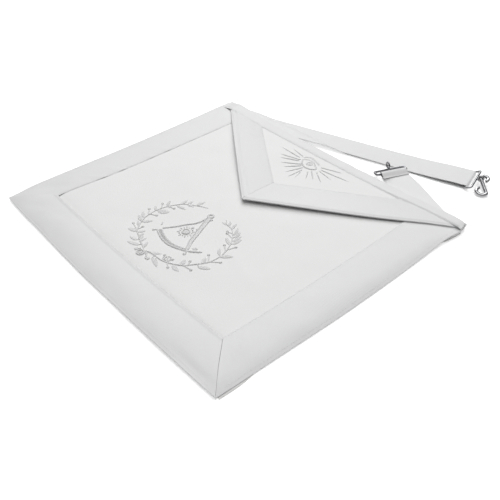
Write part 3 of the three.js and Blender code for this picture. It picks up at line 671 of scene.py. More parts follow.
def make_flap_ribbons():
    """Two ribbons along the flap's slanting edges, mitred at its point and turned under."""
    ribbons = {}
    for side, reach in ((-1, REACH_LEFT), (1, REACH_RIGHT)):
        slope = math.hypot(reach, FLAP_DROP)
        mitre = side * 0.15 * MM
        tuck = 0.8 * MM
        low_x = side * (reach - (seam_drop(reach) - tuck) * reach / FLAP_DROP)
        inner_top = side * (reach - FLAP_BORDER * slope / FLAP_DROP)
        inner_foot = APEX_Y + FLAP_BORDER * slope / reach
        inner = ((inner_top, BAND_LOW - seam_drop(inner_top) + tuck), (mitre, inner_foot))
        outer = ((low_x, BAND_LOW - seam_drop(reach) + tuck), (mitre, APEX_Y))
        ribbon = Ribbon(inner, outer, FLAP_BORDER, 0.9 * MM, 0.9 * MM, flap_ribbon_height(side))
        # Painted shade: the left flap ribbon takes the darker ribbon, the right one its lighter copy.
        name, finish = ("left", RIBBON) if side < 0 else ("right", FLAP_RIBBON)
        piece = ribbon.sheet(f"flap_ribbon_{name}", RIBBON_THICK, finish, 120, 40)
        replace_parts(piece, f"flap_border_{name}")
        ribbons[name] = ribbon
    return ribbons


def band_surface(u, reach):
    """The waistband: reach metres from its lower edge straight up the front leaf, over a quarter circle
    and straight down. The leaf has a ridge and waves, sinks between the flap's ribbons and at its ends
    in S curves, and its edges shift in S curves of x."""
    radius = 2.4 * MM
    leaf = BAND_WIDTH - radius
    turn = np.clip((reach - leaf) / radius, 0, math.pi / 2)
    down = np.maximum(reach - leaf - radius * math.pi / 2, 0)
    flat = np.minimum(reach, leaf)
    flare = 1.0 * MM * smooth(u, 0.96, 1) * (1 - flat / leaf)
    x = lerp(-HALF_WIDTH, HALF_WIDTH, u) + flare
    corner = 2.2 * MM * eased(-x, 105, 145) * flat / leaf
    y = BAND_LOW + flat + radius * np.sin(turn) - seam_drop(x) * (1 - flat / leaf) + corner
    edge = 0.25 * MM * fading(reach, 0.8)
    ridge = 0.7 * MM * bell(reach, 2.4, 1.5) * eased(x, 60, 150)
    soft = 0.22 * MM * ripples(x, y, 30 * MM, 51) * eased(reach, 0, 5)
    over_ribbon = eased(x, 118, 134) + eased(-x, 109, 125)
    sunk = 1.45 * MM * (1 - over_ribbon) * fading(reach, 8)
    ends = 3.0 * MM * eased(-x, 180, 201) + 1.2 * MM * eased(x, 197, 204)
    narrow = 1.8 * eased(x, 80, 185) + 2.2 * eased(x, 185, 204)
    y = y - (narrow - 1.3 * eased(-x, 140, 180)) * MM * flat / leaf
    z = FLAP_RIBBON_TOP + 0.75 * MM + ridge + soft - edge - sunk - ends - radius * (1 - np.cos(turn)) - down
    return place(x, y, np.maximum(z, 0.7 * MM))


def make_band():
    """The waistband's sheet: its fold goes down behind, but only as a short lip over the long strap."""
    u, reach = shares(210, 36)
    x = lerp(-HALF_WIDTH, HALF_WIDTH, u)
    over_strap = eased(x, -192, -182) * (1 - eased(x, -50, -34))
    reach = reach * BAND_CUT * (1 - 0.285 * over_strap)
    chart = (u * 2 * HALF_WIDTH, reach)
    piece = add_sheet("waistband_ribbon", band_surface(u, reach), RIBBON_THICK, chart, RIBBON)
    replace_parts(piece, "waistband")


# Straps: width, places across them, thickness, the wire of the slides, how far from the middle of a
# slide's bar the strap and its outside run, and the length over which the strap rises to it
STRAP_WIDTH = 38 * MM
ACROSS = np.linspace(-0.5, 0.5, 15) * STRAP_WIDTH
STRAP_THICK = 0.8 * MM
WIRE = 3 * MM
BAR_WRAP = WIRE / 2 + 0.8 * MM
BAR_OUTER = WIRE / 2 + 1.3 * MM
RAMP = 70 * MM


class StrapFrame:
    """Where a strap leaves the waistband, its direction along the table and the one across it, the
    place and height of its slide's bar, and by how much the slide pinches it."""

    def __init__(self, heading, root, bar_s, bar_z, pinch):
        self.along = circle(heading)
        self.across = leftward(self.along) * (1 if self.along[0] > 0 else -1)
        self.start = np.array([root * HALF_WIDTH, HALF_HEIGHT - 2 * MM])
        self.bar_s = bar_s
        self.bar_z = bar_z
        self.pinch = pinch

    def cut(self, y):
        """For each place across, the distance along the strap at which it crosses the line y."""
        return (y - self.start[1] - ACROSS * self.across[1]) / self.along[1]

    def points(self, s, side, z):
        """Lying points: s along the strap from its start, side across it and z up."""
        flat = self.start + s[..., None] * self.along + side[..., None] * self.across
        return np.concatenate([flat + (MIDDLE_X, MIDDLE_Y), z[..., None]], -1)

    def pinched(self, side, s):
        """Places across, drawn together in an S curve towards the slide by the pinch."""
        share = smooth(s, self.bar_s - RAMP / 2, self.bar_s - BAR_OUTER)
        return side * (1 - self.pinch / STRAP_WIDTH * share)


LONG = StrapFrame(17.2, -0.53, 274.6 * MM, BAR_OUTER, 1.4 * MM)


SHORT = StrapFrame(156.9, 0.695, 0.0, 5.4 * MM, 4.4 * MM)


def short_bar_s():
    """The short strap ends where its fold's corner lies over the long strap's lower edge."""
    edge = LONG.start - LONG.across * STRAP_WIDTH / 2
    corner = SHORT.start + SHORT.across * (STRAP_WIDTH - SHORT.pinch) / 2
    room = (edge - corner) @ LONG.across + 0.9 * MM
    return room / (SHORT.along @ LONG.across) - BAR_OUTER


SHORT.bar_s = short_bar_s()


def stretch(start, end, steps):
    """Stations in even steps between two distances, each a number or one for each place across."""
    return lerp(start + ACROSS * 0, end + ACROSS * 0, np.linspace(0, 1, steps)[:, None])


def round_bar(strap, start, end):
    """Sixteen stations round a slide's bar between two angles."""
    angle = np.radians(stretch(start, end, 16))
    return strap.bar_s + BAR_WRAP * np.cos(angle), strap.bar_z + BAR_WRAP * np.sin(angle)


def add_strap(name, strap, runs, node, drawn_in=None):
    """A strap from its runs of stations: s along the table and z up, for each place across it. In each
    run the places across may be drawn in, which is eased from run to run by a running mean."""
    s, z = (np.concatenate(parts) for parts in zip(*runs))
    shift = np.concatenate([run[0] * 0 + pull for run, pull in zip(runs, drawn_in or [0] * len(runs))])
    reach = 8
    wide = 2 * reach + 1
    total = np.cumsum(np.pad(shift, ((reach + 1, reach), (0, 0)), mode="edge"), axis=0)
    shift = (total[wide:] - total[:-wide]) / wide
    keep = np.concatenate([[True], np.abs(np.diff(s[:, 0])) + np.abs(np.diff(z[:, 0])) > 1e-6])
    s, z, shift = s[keep], z[keep], shift[keep]
    run = np.cumsum(np.hypot(np.gradient(s, axis=0), np.gradient(z, axis=0)), axis=0)
    top = strap.points(s, strap.pinched(ACROSS + shift, s), z)
    top = top + upward(top) * STRAP_THICK / 2
    piece = add_sheet(name, top, STRAP_THICK, (run, ACROSS), STRAP_RIBBON)
    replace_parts(piece, node)


def make_long_strap():
    """Out from under the waistband's lip, down to the table over its own returned end, its near edge
    standing up a little on the way, up round the bar and back."""
    near = 0.5 - ACROSS / STRAP_WIDTH
    start = LONG.cut(HALF_HEIGHT - 6 * MM)
    leave = LONG.cut(HALF_HEIGHT + 2 * MM)
    ramp = LONG.bar_s - RAMP
    level = stretch(leave, ramp, 90)
    slope = stretch(ramp, LONG.bar_s, 30)
    back = stretch(LONG.bar_s, LONG.cut(HALF_HEIGHT + 15 * MM), 80)
    lip = 5.75 * MM
    upper = 2.1 * MM
    fallen = lerp(lip, upper, eased(level - leave, 0, 42))
    stand = 1.3 * MM * eased(level - leave, 0, 25) * lerp(1, 0.5, eased(level, 60, 200))
    settled = (1 - smooth(slope, ramp, ramp + 50 * MM)) * 0.65 * MM
    rising = (slope - ramp) / RAMP
    risen = lerp(upper, LONG.bar_z + BAR_WRAP, smooth(rising) * 0.75 + 0.25 * rising)
    runs = [
        (stretch(start, leave, 8), stretch(lip, lip, 8)),
        (level, fallen + stand * near**1.3),
        (slope, risen + settled * near**1.3),
        round_bar(LONG, 90, -90),
        (back, back * 0 + LONG.bar_z - BAR_WRAP),
    ]
    curl = 1.8 * MM * near**1.5
    spread = 1.6 * MM * (1 - near) ** 1.5
    drawn_in = [
        curl * 0.3,
        curl + spread * eased(level, 150, 220),
        curl + spread,
        spread,
        spread + 3.4 * MM * near * eased(LONG.bar_s - back, 25, 110),
    ]
    add_strap("long_strap", LONG, runs, "strap_long", drawn_in)


def make_short_strap():
    """Out of the waistband, under the bar, round it and back on top to its stitched cut edge."""
    flat = 0.5 * MM
    foot = SHORT.bar_z - BAR_WRAP
    bar_top = SHORT.bar_z + BAR_WRAP
    start = SHORT.cut(lerp(BAND_LOW, HALF_HEIGHT - 5 * MM, ACROSS / STRAP_WIDTH + 0.5))
    leave = SHORT.cut(HALF_HEIGHT + 2 * MM)
    turned = stretch(SHORT.bar_s, SHORT.bar_s - 8.5 * MM, 12)
    runs = [
        (stretch(start, leave, 8), stretch(flat, flat, 8)),
        (stretch(leave, SHORT.bar_s, 40), lerp(flat, foot, smooth(stretch(0, 1, 40)))),
        round_bar(SHORT, -90, 90),
        (turned, lerp(bar_top, foot + 0.95 * MM, smooth(stretch(0, 1, 12), 0, 1.05))),
    ]
    add_strap("short_strap", SHORT, runs, "strap_short")


def add_wire(name, path, radius, closed, normal, finish):
    """A round wire along a path: rings of points across the path's run, of a radius at each station."""
    around = 16
    run = directions(path, closed)
    side = unit(np.cross(run, normal))
    lift = np.cross(side, run)
    angle = np.linspace(0, TAU, around, endpoint=False)
    spokes = np.cos(angle)[:, None] * side[:, None] + np.sin(angle)[:, None] * lift[:, None]
    rings = path[:, None] + spokes * np.broadcast_to(radius, len(path))[:, None, None]
    chart = (distances(path)[:, None], angle * WIRE / 2)
    return add_piece(name, rings, tube_quads(1, len(path), around, closed), chart, finish, 60)


# Slides and their rings: spacing of the bars, half length, corners, the ring's wire and radius, and
# how far its middle stands from the outer bar's
SLIDE_SPACING = 8 * MM
SLIDE_HALF = STRAP_WIDTH / 2 + 3 * MM - WIRE / 2
SLIDE_CORNER = 2.4 * MM
RING_WIRE = 2.2 * MM
RING_RADIUS = 3.5 * MM
RING_REACH = WIRE / 2 + RING_RADIUS + RING_WIRE / 6


def slide_axes(strap, tilt, slip):
    """A slide's place and its three directions: out from the bar, along the bar, and their normal."""
    level, up = circle(tilt)
    out = np.array([*strap.along * level, up])
    side = np.array([*leftward(strap.along), 0])
    origin = strap.points(*np.array((strap.bar_s, slip, strap.bar_z)))
    return origin, out, side, np.cross(out, side)


def ring_middle(axes, lift):
    """Middle of a slide's ring, which stands on the outer bar at an angle of lift degrees."""
    origin, out, _, normal = axes
    level, up = RING_REACH * circle(lift)
    return origin + out * (SLIDE_SPACING + level) + normal * up


def make_slide(name, axes, lift, node, finish):
    """A rounded rectangle of wire with a small ring that stands on its outer bar."""
    origin, out, side, normal = axes
    path = []
    for far, end, start in ((1, 1, 0), (0, 1, 90), (0, -1, 180), (1, -1, 270)):
        middle = (far * SLIDE_SPACING + (1 - 2 * far) * SLIDE_CORNER, end * (SLIDE_HALF - SLIDE_CORNER))
        corner = middle + SLIDE_CORNER * circle(np.linspace(start, start + 90, 9))
        path.append(origin + corner @ np.stack([out, side]))
    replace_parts(add_wire(name, np.concatenate(path), WIRE / 2, True, normal, finish), node)
    ring = ring_middle(axes, lift) + RING_RADIUS * circle(np.arange(0, 360, 9)) @ np.stack([out, normal])
    add_wire(f"{name}_ring", ring, RING_WIRE / 2, True, side, finish)


def make_hook(ring):
    """An open round bend at the foot that turns one way and a closed eye at the head that turns the
    other way, in the plane from the slide's ring down to the table."""
    wire, eye_radius, bend_radius, length = 4.5 * MM, 4.4 * MM, 6.2 * MM, 29.5 * MM
    fall = math.asin((ring[2] - wire / 2) / (length - wire / 2))
    heading = circle(-49)
    along = np.array([*heading * math.cos(fall), -math.sin(fall)])
    side = np.array([*leftward(heading), 0])
    middle = (length - bend_radius - wire / 2, -eye_radius / 6)
    bend = middle + bend_radius * circle(np.linspace(-165, 55, 60))
    eye = (0, eye_radius) + eye_radius * circle(np.linspace(-62, -350, 70))
    shank = lerp(bend[-1], eye[0], np.linspace(0, 1, 24)[1:-1, None])
    flat = np.concatenate([bend, shank, eye])
    thin = lerp(0.8, 1.0, smooth(np.linspace(0, 1, len(flat)), 0, 0.12)) * rounded_ends(len(flat), 0.012)
    path = ring + flat @ np.stack([along, side])
    piece = add_wire("hook_wire", path, wire / 2 * thin, False, np.cross(along, side), CHROME)
    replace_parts(piece, "snake_hook")


class Stitching:
    """Raised satin stitch on a cloth, gathered from sets of alike shapes."""

    def __init__(self, cloth):
        self.cloth = cloth
        self.points, self.quads, self.charts, self.used = [], [], [], 0

    def add(self, lines, half, high, groove=0.0, closed=False):
        """A set of middle lines. Each station carries half an ellipse over the cloth, half mm wide to
        each side and high stitches high, with a groove down its middle, and a shallow one under it."""
        turn = np.linspace(0, TAU, 14, endpoint=False)
        lines = np.asarray(lines, float)
        half = np.broadcast_to(half, lines.shape[:2]) * MM
        high = np.broadcast_to(high, lines.shape[:2]) * STITCH
        side = leftward(directions(lines, closed))
        reach = half[..., None] * np.cos(turn)
        flat = lines[:, :, None] + side[:, :, None] * reach[..., None]
        over = np.sin(turn) - groove * swell(np.cos(turn), 0, 0.2)
        up = np.where(np.sin(turn) > 0.01, over, 0.3 * np.sin(turn))
        z = self.cloth(flat[..., 0], flat[..., 1]) + THREAD_OFF + high[..., None] * up
        chart = np.stack(np.broadcast_arrays(distances(lines)[..., None], reach), -1)
        self.quads.append(tube_quads(*reach.shape, closed) + self.used)
        self.charts.append(chart.reshape(-1, 2))
        self.points.append(place(flat[..., 0], flat[..., 1], z).reshape(-1, 3))
        self.used += reach.size

    def balls(self, middles, radius, high, groove=0.0):
        """Round knobs of a radius in mm: a line across each, as wide and high as its circle there."""
        t = np.linspace(-1, 1, 9)
        ball = np.sqrt(np.maximum(1 - t * t, 0))
        lines = np.asarray(middles)[:, None] + np.stack([t * radius * MM, t * 0], -1)
        self.add(lines, radius * ball, high * ball, groove)

    def make(self, name, node):
        """One piece of all the shapes."""
        parts = (self.points, self.quads, self.charts)
        points, quads, charts = (np.concatenate(part) for part in parts)
        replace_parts(add_piece(name, points, quads, charts.T, THREAD, 75), node)


def rounded_ends(stations, share=0.12):
    """Width of a stroke: one along its run, and a quarter circle down to nothing at both ends."""
    t = np.linspace(0, 1, stations)
    near = np.minimum(np.minimum(t, 1 - t) / share, 1)
    return np.sqrt(np.maximum(1 - (1 - near) ** 2, 0))


def strokes(starts, ends, stations=9):
    """Straight middle lines between two rows of points."""
    share = np.linspace(0, 1, stations)[None, :, None]
    return lerp(np.asarray(starts, float)[:, None], np.asarray(ends, float)[:, None], share)


def circle_line(middle, radius, steps=36):
    """Even points of a circle."""
    return middle + radius * circle(np.linspace(0, 360, steps, endpoint=False))


def nearest(points, line):
    """For each point the closest point of a line."""
    return line[np.argmin(np.linalg.norm(points[:, None] - line, axis=-1), axis=1)]


# The emblem's middle on the cut, how high one stitch stands and how far its middle is off the cloth,
# and, in mm from the emblem's middle, the sun, the wreath's knot and its bunch of berries
EMBLEM = np.array([0.0, -0.334 * HALF_HEIGHT])
STITCH = 0.76 * MM
THREAD_OFF = 0.05 * MM
SUN = (0, 3.7)
KNOT = (-4, -53.5)
BUNCH = (25, -38.5)

# The two stems of the wreath, from the tie at its foot to their tips
LEFT_STEM = (
    (-3, -51.3), (-9, -46.3), (-16, -44.3), (-24, -41.3), (-33, -37.8), (-40, -35.3), (-47, -27.3),
    (-51, -21.3), (-55, -13.3), (-56.5, -4.3), (-56.5, 6.7), (-54, 15.7), (-50, 24.7), (-46, 31.7),
    (-40, 36.7), (-32, 41.7), (-26, 45.7), (-17.5, 49.2),
)
RIGHT_STEM = (
    (-5, -51.3), (3, -45.8), (13, -45.3), (22, -44.8), (30, -42.3), (39, -37.3), (46, -32.3),
    (52, -22.3), (56, -16.3), (59, -9.3), (59.5, -0.3), (59, 5.7), (57, 13.7), (54, 19.7), (51, 25.7),
    (45, 32.7), (38, 39.7), (31, 44.2), (20, 45.2), (13, 51.2),
)

# Leaves: foot, tip and width
LEAVES = (
    (-32, 42.7, -30, 54.7, 3.6), (-40, 36.7, -41.5, 45.2, 3), (-41, 35.7, -31, 38.2, 3),
    (-47, 30.7, -48.5, 41.7, 3.4), (-49.5, 25.7, -33.5, 29.2, 3.2), (-54, 16.7, -61, 25.7, 3.4),
    (-56, 3.7, -43, 12.2, 6.2), (-57, 1.7, -65, 7.7, 3), (-55, -16.3, -66, -9.3, 3),
    (-52, -22.3, -64, -17.3, 3.8), (-50.5, -22.3, -42.5, -11.3, 3.8), (-44, -30.3, -55, -24.3, 3),
    (-38, -36.3, -49.5, -40.8, 4.6), (-37, -37.3, -32, -28.3, 3), (-29, -39.3, -29.5, -31.8, 2.8),
    (-25.5, -42.3, -25.5, -35.3, 3.2), (-19, -44.8, -20.5, -34.3, 3), (-24, -44.3, -36.5, -46.8, 3.2),
    (-15, -47.3, -30.5, -53.8, 3.8), (-8, -45.3, -13, -37.8, 2.8), (3, -45.8, 14, -38.3, 3.4),
    (15, -47.3, 29, -54.3, 3.4), (11, -48.3, 21, -53.3, 2.8), (36, -39.8, 49.5, -41.3, 4.2),
    (42, -35.3, 38, -25.8, 4.2), (56.5, -23.3, 68.5, -15.3, 4.4), (56, -17.3, 50, -7.3, 3.6),
    (59, 2.7, 69.5, 13.7, 4.6), (57, 4.7, 47.5, 13.2, 3), (52, 23.7, 37, 30.2, 3.6),
    (52, 26.7, 52.5, 40.2, 3.6), (48, 30.7, 48, 43.7, 3.2), (44.5, 35.7, 40.5, 47.7, 3.6),
    (41, 38.7, 34, 50.2, 3), (31.5, 44.2, 27.5, 54.2, 3), (22, 44.7, 14, 44.2, 2.6),
    (25, 45.2, 19, 52.2, 2.6),
)

# Berries: foot of the stalk and the berry
BERRIES = (
    (-52.5, 16.2, -45, 19.7), (-57, 8.7, -62.5, 15.2), (-55.5, -6.8, -48, -2.8),
    (-56.5, -10.3, -64.5, -2.3), (-41, -34.8, -41, -26.3), (-40.5, -35.8, -54, -30.8),
    (28, -43.3, 29.5, -35.3), (23, -44.8, 18, -37.3), (30, -42.8, 36.5, -46.3), (46, -32.8, 56, -31.3),
    (48.5, -29.3, 44.5, -23.8), (59, -9.8, 67, -1.3), (58, -10.3, 49, -2.8), (57, 13.7, 47.5, 19.9),
    (57, 16.7, 58.5, 26.7), (44, 33.7, 33.5, 35.4), (39, 39.7, 31, 37.7),
)


def curve(corners, stations):
    """A smooth line near corner points: even stations along the straight chords, each then replaced
    by the weighted mean of its neighbours; both ends keep their places."""
    corners = np.asarray(corners, float)
    at = distances(corners)
    even = np.linspace(0, at[-1], stations)
    reach = max(2, stations // (2 * len(corners)))
    weight = np.hanning(2 * reach + 3)[1:-1]
    weight = weight / weight.sum()
    line = []
    for k in range(corners.shape[1]):
        padded = np.pad(np.interp(even, at, corners[:, k]), reach, mode="reflect", reflect_type="odd")
        line.append(np.convolve(padded, weight, "valid"))
    return np.stack(line, -1)


def on_emblem(points):
    """Points given in mm from the emblem's middle, on the flat cut in metres."""
    return EMBLEM + np.asarray(points, float) * MM


def leaf_rows(foot, tip, width, bend):
    """Leaves between feet and tips: a middle line with a parabola's bow, and half widths on a power of
    a sine that is widest a little before its middle."""
    t = np.linspace(0, 1, 11)
    bow = (bend[:, None] * t * (1 - t) * 4)[..., None] * leftward(tip - foot)[:, None]
    half = width[:, None] / 2 * np.sin(math.pi * t**0.85) ** 0.7
    return strokes(foot, tip, 11) + bow, half


def make_wreath():
    """Two stems that cross at the foot, uneven slender leaves, berries on stalks, and a tied knot."""
    work = Stitching(leather_top)
    stems = np.array([curve(on_emblem(stem), 110) for stem in (LEFT_STEM, RIGHT_STEM)])
    thin = lerp(1.15, 0.7, np.linspace(0, 1, 110)) * rounded_ends(110, 0.02)
    work.add(stems, STITCH / MM * thin, thin)
    stems = stems.reshape(-1, 2)
    table = np.array(LEAVES)
    foot, tip = on_emblem(table[:, :2]), on_emblem(table[:, 2:4])
    bend = np.random.default_rng(7).uniform(-0.09, 0.09, len(table))
    lines, half = leaf_rows(foot, tip, table[:, 4] * 1.3, bend)
    work.add(lines, half, 1.15 * (half / half.max()) ** 0.5, 0.45)
    work.add(strokes(nearest(foot, stems), lerp(foot, tip, 0.12), 5), 0.6, 0.8)
    table = np.array(BERRIES)
    foot, berry = nearest(on_emblem(table[:, :2]), stems), on_emblem(table[:, 2:])
    work.add(strokes(foot, berry, 7), 0.75, 0.8)
    work.balls(berry, 1.7, 1.6)
    bunch = on_emblem(BUNCH)
    work.balls([*circle_line(bunch, 3.4 * MM, 9), bunch], 1.0, 1.1)
    knot = on_emblem(KNOT)
    work.add([circle_line(knot, 4.0 * MM)], 1.1, 1.4, closed=True)
    work.balls([knot, *on_emblem([(-12, -53.5), (10, -53.5)])], 2.4, 1.3, 0.3)
    ties = strokes(on_emblem([(-9, -49), (1, -48), (-3, -47)]), on_emblem([(-13, -55), (9, -56), (4, -52)]))
    work.add(ties, 0.9 * rounded_ends(9), 1.1 * rounded_ends(9))
    work.make("wreath_stitching", "wreath")


# Compasses, in mm from the emblem's middle: the legs' and the arc's lines
LEFT_LEG = ((-4, 38.5), (-3, 27), (-5.5, 18), (-10, 13), (-15, 1.5), (-23.5, -12))
RIGHT_LEG = ((-2, 38.5), (7, 19), (17, -2), (26.5, -15))
ARC = ((-26, -17), (-15, -21.5), (-5, -24), (5, -24.3), (15, -22), (29, -16))
HUB = (-3.5, 41.7)

# Leaf-shaped finials: start, end, half width in mm and height in stitches
FINIALS = (
    (29, -16, 41.3, -5, 1.5, 1.5), (-29, -9.5, -33.5, -4, 1.0, 0.7),
    (-27, -19.5, -24.5, -17, 0.9, 1.2), (25, -14, 31, -19, 0.9, 1.2),
)


def make_compasses():
    """A ringed hub with its knob, a thin bent left leg, a broad right leg with two raised edges and two
    small crosses, an arc with ticks up to a fine inner line, ball ends and leaf-shaped finials."""
    work = Stitching(leather_top)
    work.add([circle_line(on_emblem(HUB), 3.0 * MM)], 1.6, 1.4, 0.1, True)
    work.balls(on_emblem([(2.6, 37.6), (-28, -20.4), (30.5, -20.9)]), 1.9, 1.5)
    ends = rounded_ends(60, 0.03)
    work.add([curve(on_emblem(LEFT_LEG), 60)], 1.15 * ends, 1.3 * ends)
    right = curve(on_emblem(RIGHT_LEG), 60)
    half = lerp(2.9, 1.6, np.linspace(0, 1, 60) ** 3)
    edge = leftward(directions(right)) * (half * 0.85 * MM)[:, None]
    work.add([right], half * rounded_ends(60, 0.04), 0.5)
    work.add([right - edge, right + edge], 0.75 * ends, 1.2)
    arms = np.array([(-1.4, -1.4), (-1.4, 1.4)])
    for middle in ((6, 15.5), (0, 13.5)):
        cross = strokes(on_emblem(middle + arms), on_emblem(middle - arms), 7)
        work.add(cross, 0.6 * rounded_ends(7), 1.1 * rounded_ends(7))
    arc = curve(on_emblem(ARC), 90)
    work.add([arc], 1.15 * rounded_ends(90, 0.02), 1.45 * rounded_ends(90, 0.02))
    foot = arc[4:-8:3]
    work.add(strokes(foot, foot + (1.3 * MM, 4.4 * MM), 7), 0.6, 0.95 * rounded_ends(7))
    work.add([arc[4:-8] + (1.4 * MM, 4.7 * MM)], 0.7, 0.6 * rounded_ends(78, 0.03))
    table = np.array(FINIALS)
    lines = strokes(on_emblem(table[:, :2]), on_emblem(table[:, 2:4]))
    work.add(lines, table[:, 4:5] * rounded_ends(9, 0.4), table[:, 5:] * rounded_ends(9))
    fan = 4.0 * MM * circle([60, 90, 120, 150, 180])
    foot = on_emblem((32, -9))
    work.add(strokes(foot + fan * 0, foot + fan, 5), 0.5, 0.8 * rounded_ends(5))
    work.make("compass_stitching", "compasses")


def make_sun():
    """A disc with a raised rim and, round it, sixteen short separate rays."""
    work = Stitching(leather_top)
    middle = on_emblem(SUN)
    direction = circle_line(0, 1, 16)
    reach = np.where(np.arange(16) % 2, 8.6, 10.4)[:, None] * MM
    rays = strokes(middle + direction * 6.4 * MM, middle + direction * reach, 7)
    work.add(rays, 0.8 * rounded_ends(7, 0.4), 0.95 * rounded_ends(7, 0.4))
    work.add([circle_line(middle, 4.0 * MM)], 1.1, 1.6, closed=True)
    work.balls([middle], 3.4, 1.2, 0.2)
    work.make("sun_stitching", "sun")


# The eye's middle on the cut, and its rays in mm from there: start, tip and half width
EYE = np.array([0.0, 139.55]) * MM
RAYS = (
    (-19.3, 9.8, -42.9, 14.6, 0.8), (-20.7, 5.1, -57.1, 6.3, 0.95), (-16, 2.1, -45.1, -7.7, 1.0),
    (-15.5, -0.6, -39.2, -13.8, 1.1), (-8, -4.4, -29.7, -21.6, 1.1), (-5.3, -7.1, -19.3, -26, 1.05),
    (-1.1, -8.9, -9.2, -33.3, 0.95), (1.8, -13.5, 0.9, -38.5, 0.9), (4, -19, 8.5, -34.5, 0.5),
    (8.8, -10.6, 20.2, -26.8, 0.8), (11.1, -6.7, 26.7, -20.5, 0.9), (16.9, -3.7, 37.4, -18, 0.9),
    (17.4, -0.1, 42.2, -4.3, 0.85), (17.6, 3.1, 60.1, 8.1, 0.95), (14, 7, 41.6, 16.8, 0.85),
)

# Lower lid, brow, upper lid and outer fold of the eye: half width, height in stitches, line in mm
LIDS = (
    (1.3, 1.1, ((-15.1, 4), (-10.7, -1.8), (-4.4, -6.2), (2, -7.1), (8.7, -5), (13.7, -0.4))),
    (1.5, 0.45, ((-17.6, 8), (-14.5, 13.5), (-9, 15.6), (-1.1, 13.8), (10.3, 9.3))),
    (1.1, 0.5, ((-15.1, 4), (-11, 9), (-4, 10.4), (2.5, 8.6))),
    (1.1, 0.7, ((2.5, 8.6), (6.5, 4.6), (10, 2.8), (13.7, -0.4))),
)


def make_eye():
    """Two lids that meet at both corners with a ringed iris between them, a brow over them, and rays."""
    work = Stitching(flap_leather_top)
    ends = rounded_ends(40, 0.08)
    for half, high, lid in LIDS:
        work.add([EYE + curve(lid, 40) * MM], half * ends, high * ends)
    iris = EYE + (-1.6 * MM, 3.2 * MM)
    work.add([circle_line(iris, 3.6 * MM)], 1.0, 0.6, closed=True)
    work.balls([iris], 1.7, 0.7)
    table = np.array(RAYS)
    rays = strokes(EYE + table[:, :2] * MM, EYE + table[:, 2:4] * MM, 14)
    share = np.linspace(0, 1, 14)
    taper = np.minimum(share / 0.06, 1) * (1 - share**6)
    work.add(rays, table[:, 4:] * taper, 0.72 * taper * (0.3 + table[:, 4:]))
    work.make("eye_stitching", "radiant_eye")


# Machine stitches: length, gap, half sizes along, across and up, and how far one stands off
STITCH_LENGTH = 2.6 * MM
STITCH_GAP = 0.9 * MM
STITCH_HALF = np.array([1.3, 0.26, 0.16]) * MM
STITCH_OFF = 0.02 * MM
UPRIGHT = np.array([0.0, 0.0, 1.0])


def stitch_row(points, normals, length=STITCH_LENGTH, gap=STITCH_GAP):
    """Middles, directions and normals of the stitches that fit along a line of points."""
    distance = distances(points)
    at = np.arange(length, distance[-1] - length, length + gap)

    def between(values, where):
        """Values of the line's points, read off at distances between them."""
        return np.stack([np.interp(where, distance, column) for column in values.T], -1)

    normals = np.broadcast_to(normals, points.shape)
    return between(points, at), unit(between(points, at + MM) - between(points, at)), between(normals, at)


def ribbon_row(ribbon, offset, first=0.01, last=0.99):
    """A stitch line on a ribbon at a distance in from its inner seam, or out of its edge if negative."""
    share = offset / ribbon.width if offset > 0 else 1 + offset / ribbon.width
    u = np.linspace(first, last, 220)
    line, beside = (ribbon.surface(u, u * 0 + share + step) for step in (0, 0.01))
    normal = unit(np.cross(np.gradient(line, axis=0), beside - line))
    return stitch_row(line, normal * np.sign(normal[:, 2:3]))


def make_stitches(borders, flap):
    """Every machine stitch as a small lozenge: one shape carried to all places at once."""
    rows = [ribbon_row(ribbon, 1.7 * MM, 0.005, 0.995) for ribbon in borders.values()]
    rows += [ribbon_row(ribbon, -3.2 * MM, 0.01, 0.985) for ribbon in borders.values()]
    rows += [ribbon_row(ribbon, 1.6 * MM) for ribbon in flap.values()]
    rows.append(ribbon_row(flap["left"], -6.8 * MM))
    u = np.linspace(0.004, 0.996, 400)
    rows.append(stitch_row(band_surface(u, u * 0 + 1.7 * MM), UPRIGHT))
    cut = np.linspace(-0.43, 0.43, 60) * (STRAP_WIDTH - SHORT.pinch)
    height = SHORT.bar_z - BAR_WRAP + 1.9 * MM
    line = SHORT.points(cut * 0 + SHORT.bar_s - 6.6 * MM, cut, cut * 0 + height)
    rows.append(stitch_row(line, UPRIGHT, 2.2 * MM, 0.7 * MM))
    middles, runs, ups = (np.concatenate(parts) for parts in zip(*rows))
    along = np.linspace(-1, 1, 6)[:, None]
    turn = np.linspace(0, TAU, 6, endpoint=False)
    full = np.sqrt(np.maximum(1 - along**4, 0))
    shape = np.stack(np.broadcast_arrays(along, full * np.cos(turn), full * np.sin(turn)), -1) * STITCH_HALF
    axes = np.stack([runs, np.cross(ups, runs), ups], 1)
    points = middles[:, None, None] + (shape + UPRIGHT * STITCH_OFF) @ axes[:, None]
    quads = tube_quads(len(middles), 6, 6)
    add_piece("machine_stitches", points, quads, (shape[..., 0], shape[..., 1]), THREAD, 80)


def make_table():
    """A wide pale floor under the apron."""
    reach = 6.0
    mesh = bpy.data.meshes.new("table_top")
    corners = [(-reach, -reach, 0), (reach, -reach, 0), (reach, reach, 0), (-reach, reach, 0)]
    mesh.from_pydata(corners, [], [(0, 1, 2, 3)])
    mesh.materials.append(floor_finish())
    add_object("table_top", mesh)


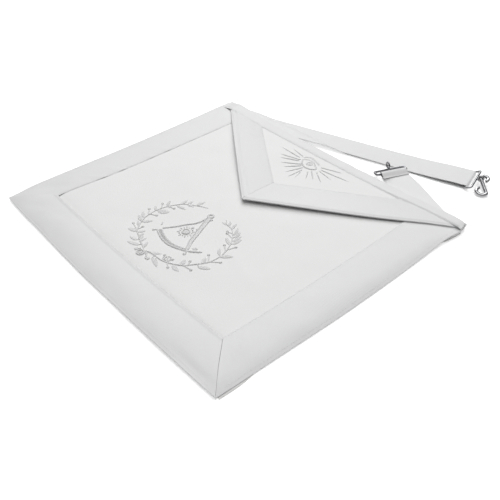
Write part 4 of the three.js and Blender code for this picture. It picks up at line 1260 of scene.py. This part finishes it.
def add_light(name, spot, size, power):
    """A square soft light that looks from its spot at the origin."""
    light = bpy.data.lights.new(name, "AREA")
    light.shape = "SQUARE"
    light.size = size
    light.energy = power
    lamp = add_object(name, light)
    lamp.location = spot
    x, y, z = spot
    lamp.rotation_euler = (math.atan2(math.hypot(x, y), z), 0, math.atan2(-y, -x) - math.pi / 2)


def make_light():
    """One wide soft window behind the waistband, a dimmer one overhead, and a sky that is dark near
    the horizon, so that polished wire shows dark lines and the near sides of edges stay dim."""
    add_light("window", (-2.5, 2.3, 2.9), 3.0, 116)
    add_light("ceiling", (-0.3, 0.4, 5.0), 3.6, 72)
    world = bpy.data.worlds.new("surround")
    world.use_nodes = True
    tree = world.node_tree
    where = tree.nodes.new("ShaderNodeTexCoord")
    split = tree.nodes.new("ShaderNodeSeparateXYZ")
    shade = tree.nodes.new("ShaderNodeMapRange")
    for key, value in {"From Min": 0.3, "From Max": 0.75, "To Min": 0.03, "To Max": 0.6}.items():
        shade.inputs[key].default_value = value
    tree.links.new(where.outputs["Object"], split.inputs["Vector"])
    tree.links.new(split.outputs["Z"], shade.inputs["Value"])
    tree.links.new(shade.outputs["Result"], tree.nodes["Background"].inputs["Strength"])
    tree.nodes["Background"].inputs["Color"].default_value = (1, 1, 1, 1)
    bpy.context.scene.world = world
    bpy.context.scene.view_settings.view_transform = "Standard"


def make_camera():
    """The photograph's view: from over the right foot corner, down at the apron."""
    lens = bpy.data.cameras.new("view")
    lens.lens = 44.786
    lens.sensor_width = 36
    lens.clip_start = 0.05
    camera = add_object("view", lens)
    camera.location = (0.46759 + MIDDLE_X, -0.35900 + MIDDLE_Y, 0.42061)
    camera.rotation_euler = tuple(math.radians(turn) for turn in (50.7431, 0.9737, 49.0202))
    bpy.context.scene.camera = camera


make_camera()
make_light()
make_table()
make_lining()
make_leather()
border_ribbons = make_borders()
make_flap_leather()
flap_ribbons = make_flap_ribbons()
make_band()
make_long_strap()
make_short_strap()
long_axes = slide_axes(LONG, 24, 0.9 * MM)
make_slide("long_slide", long_axes, 0, "slide_long", CHROME)
# The short slide gets the nickel with painted shade.
make_slide("short_slide", slide_axes(SHORT, -6, -1.9 * MM), 58, "slide_short", PAINTED_SHADE_NICKEL)
make_hook(ring_middle(long_axes, 0))
make_wreath()
make_compasses()
make_sun()
make_eye()
make_stitches(border_ribbons, flap_ribbons)
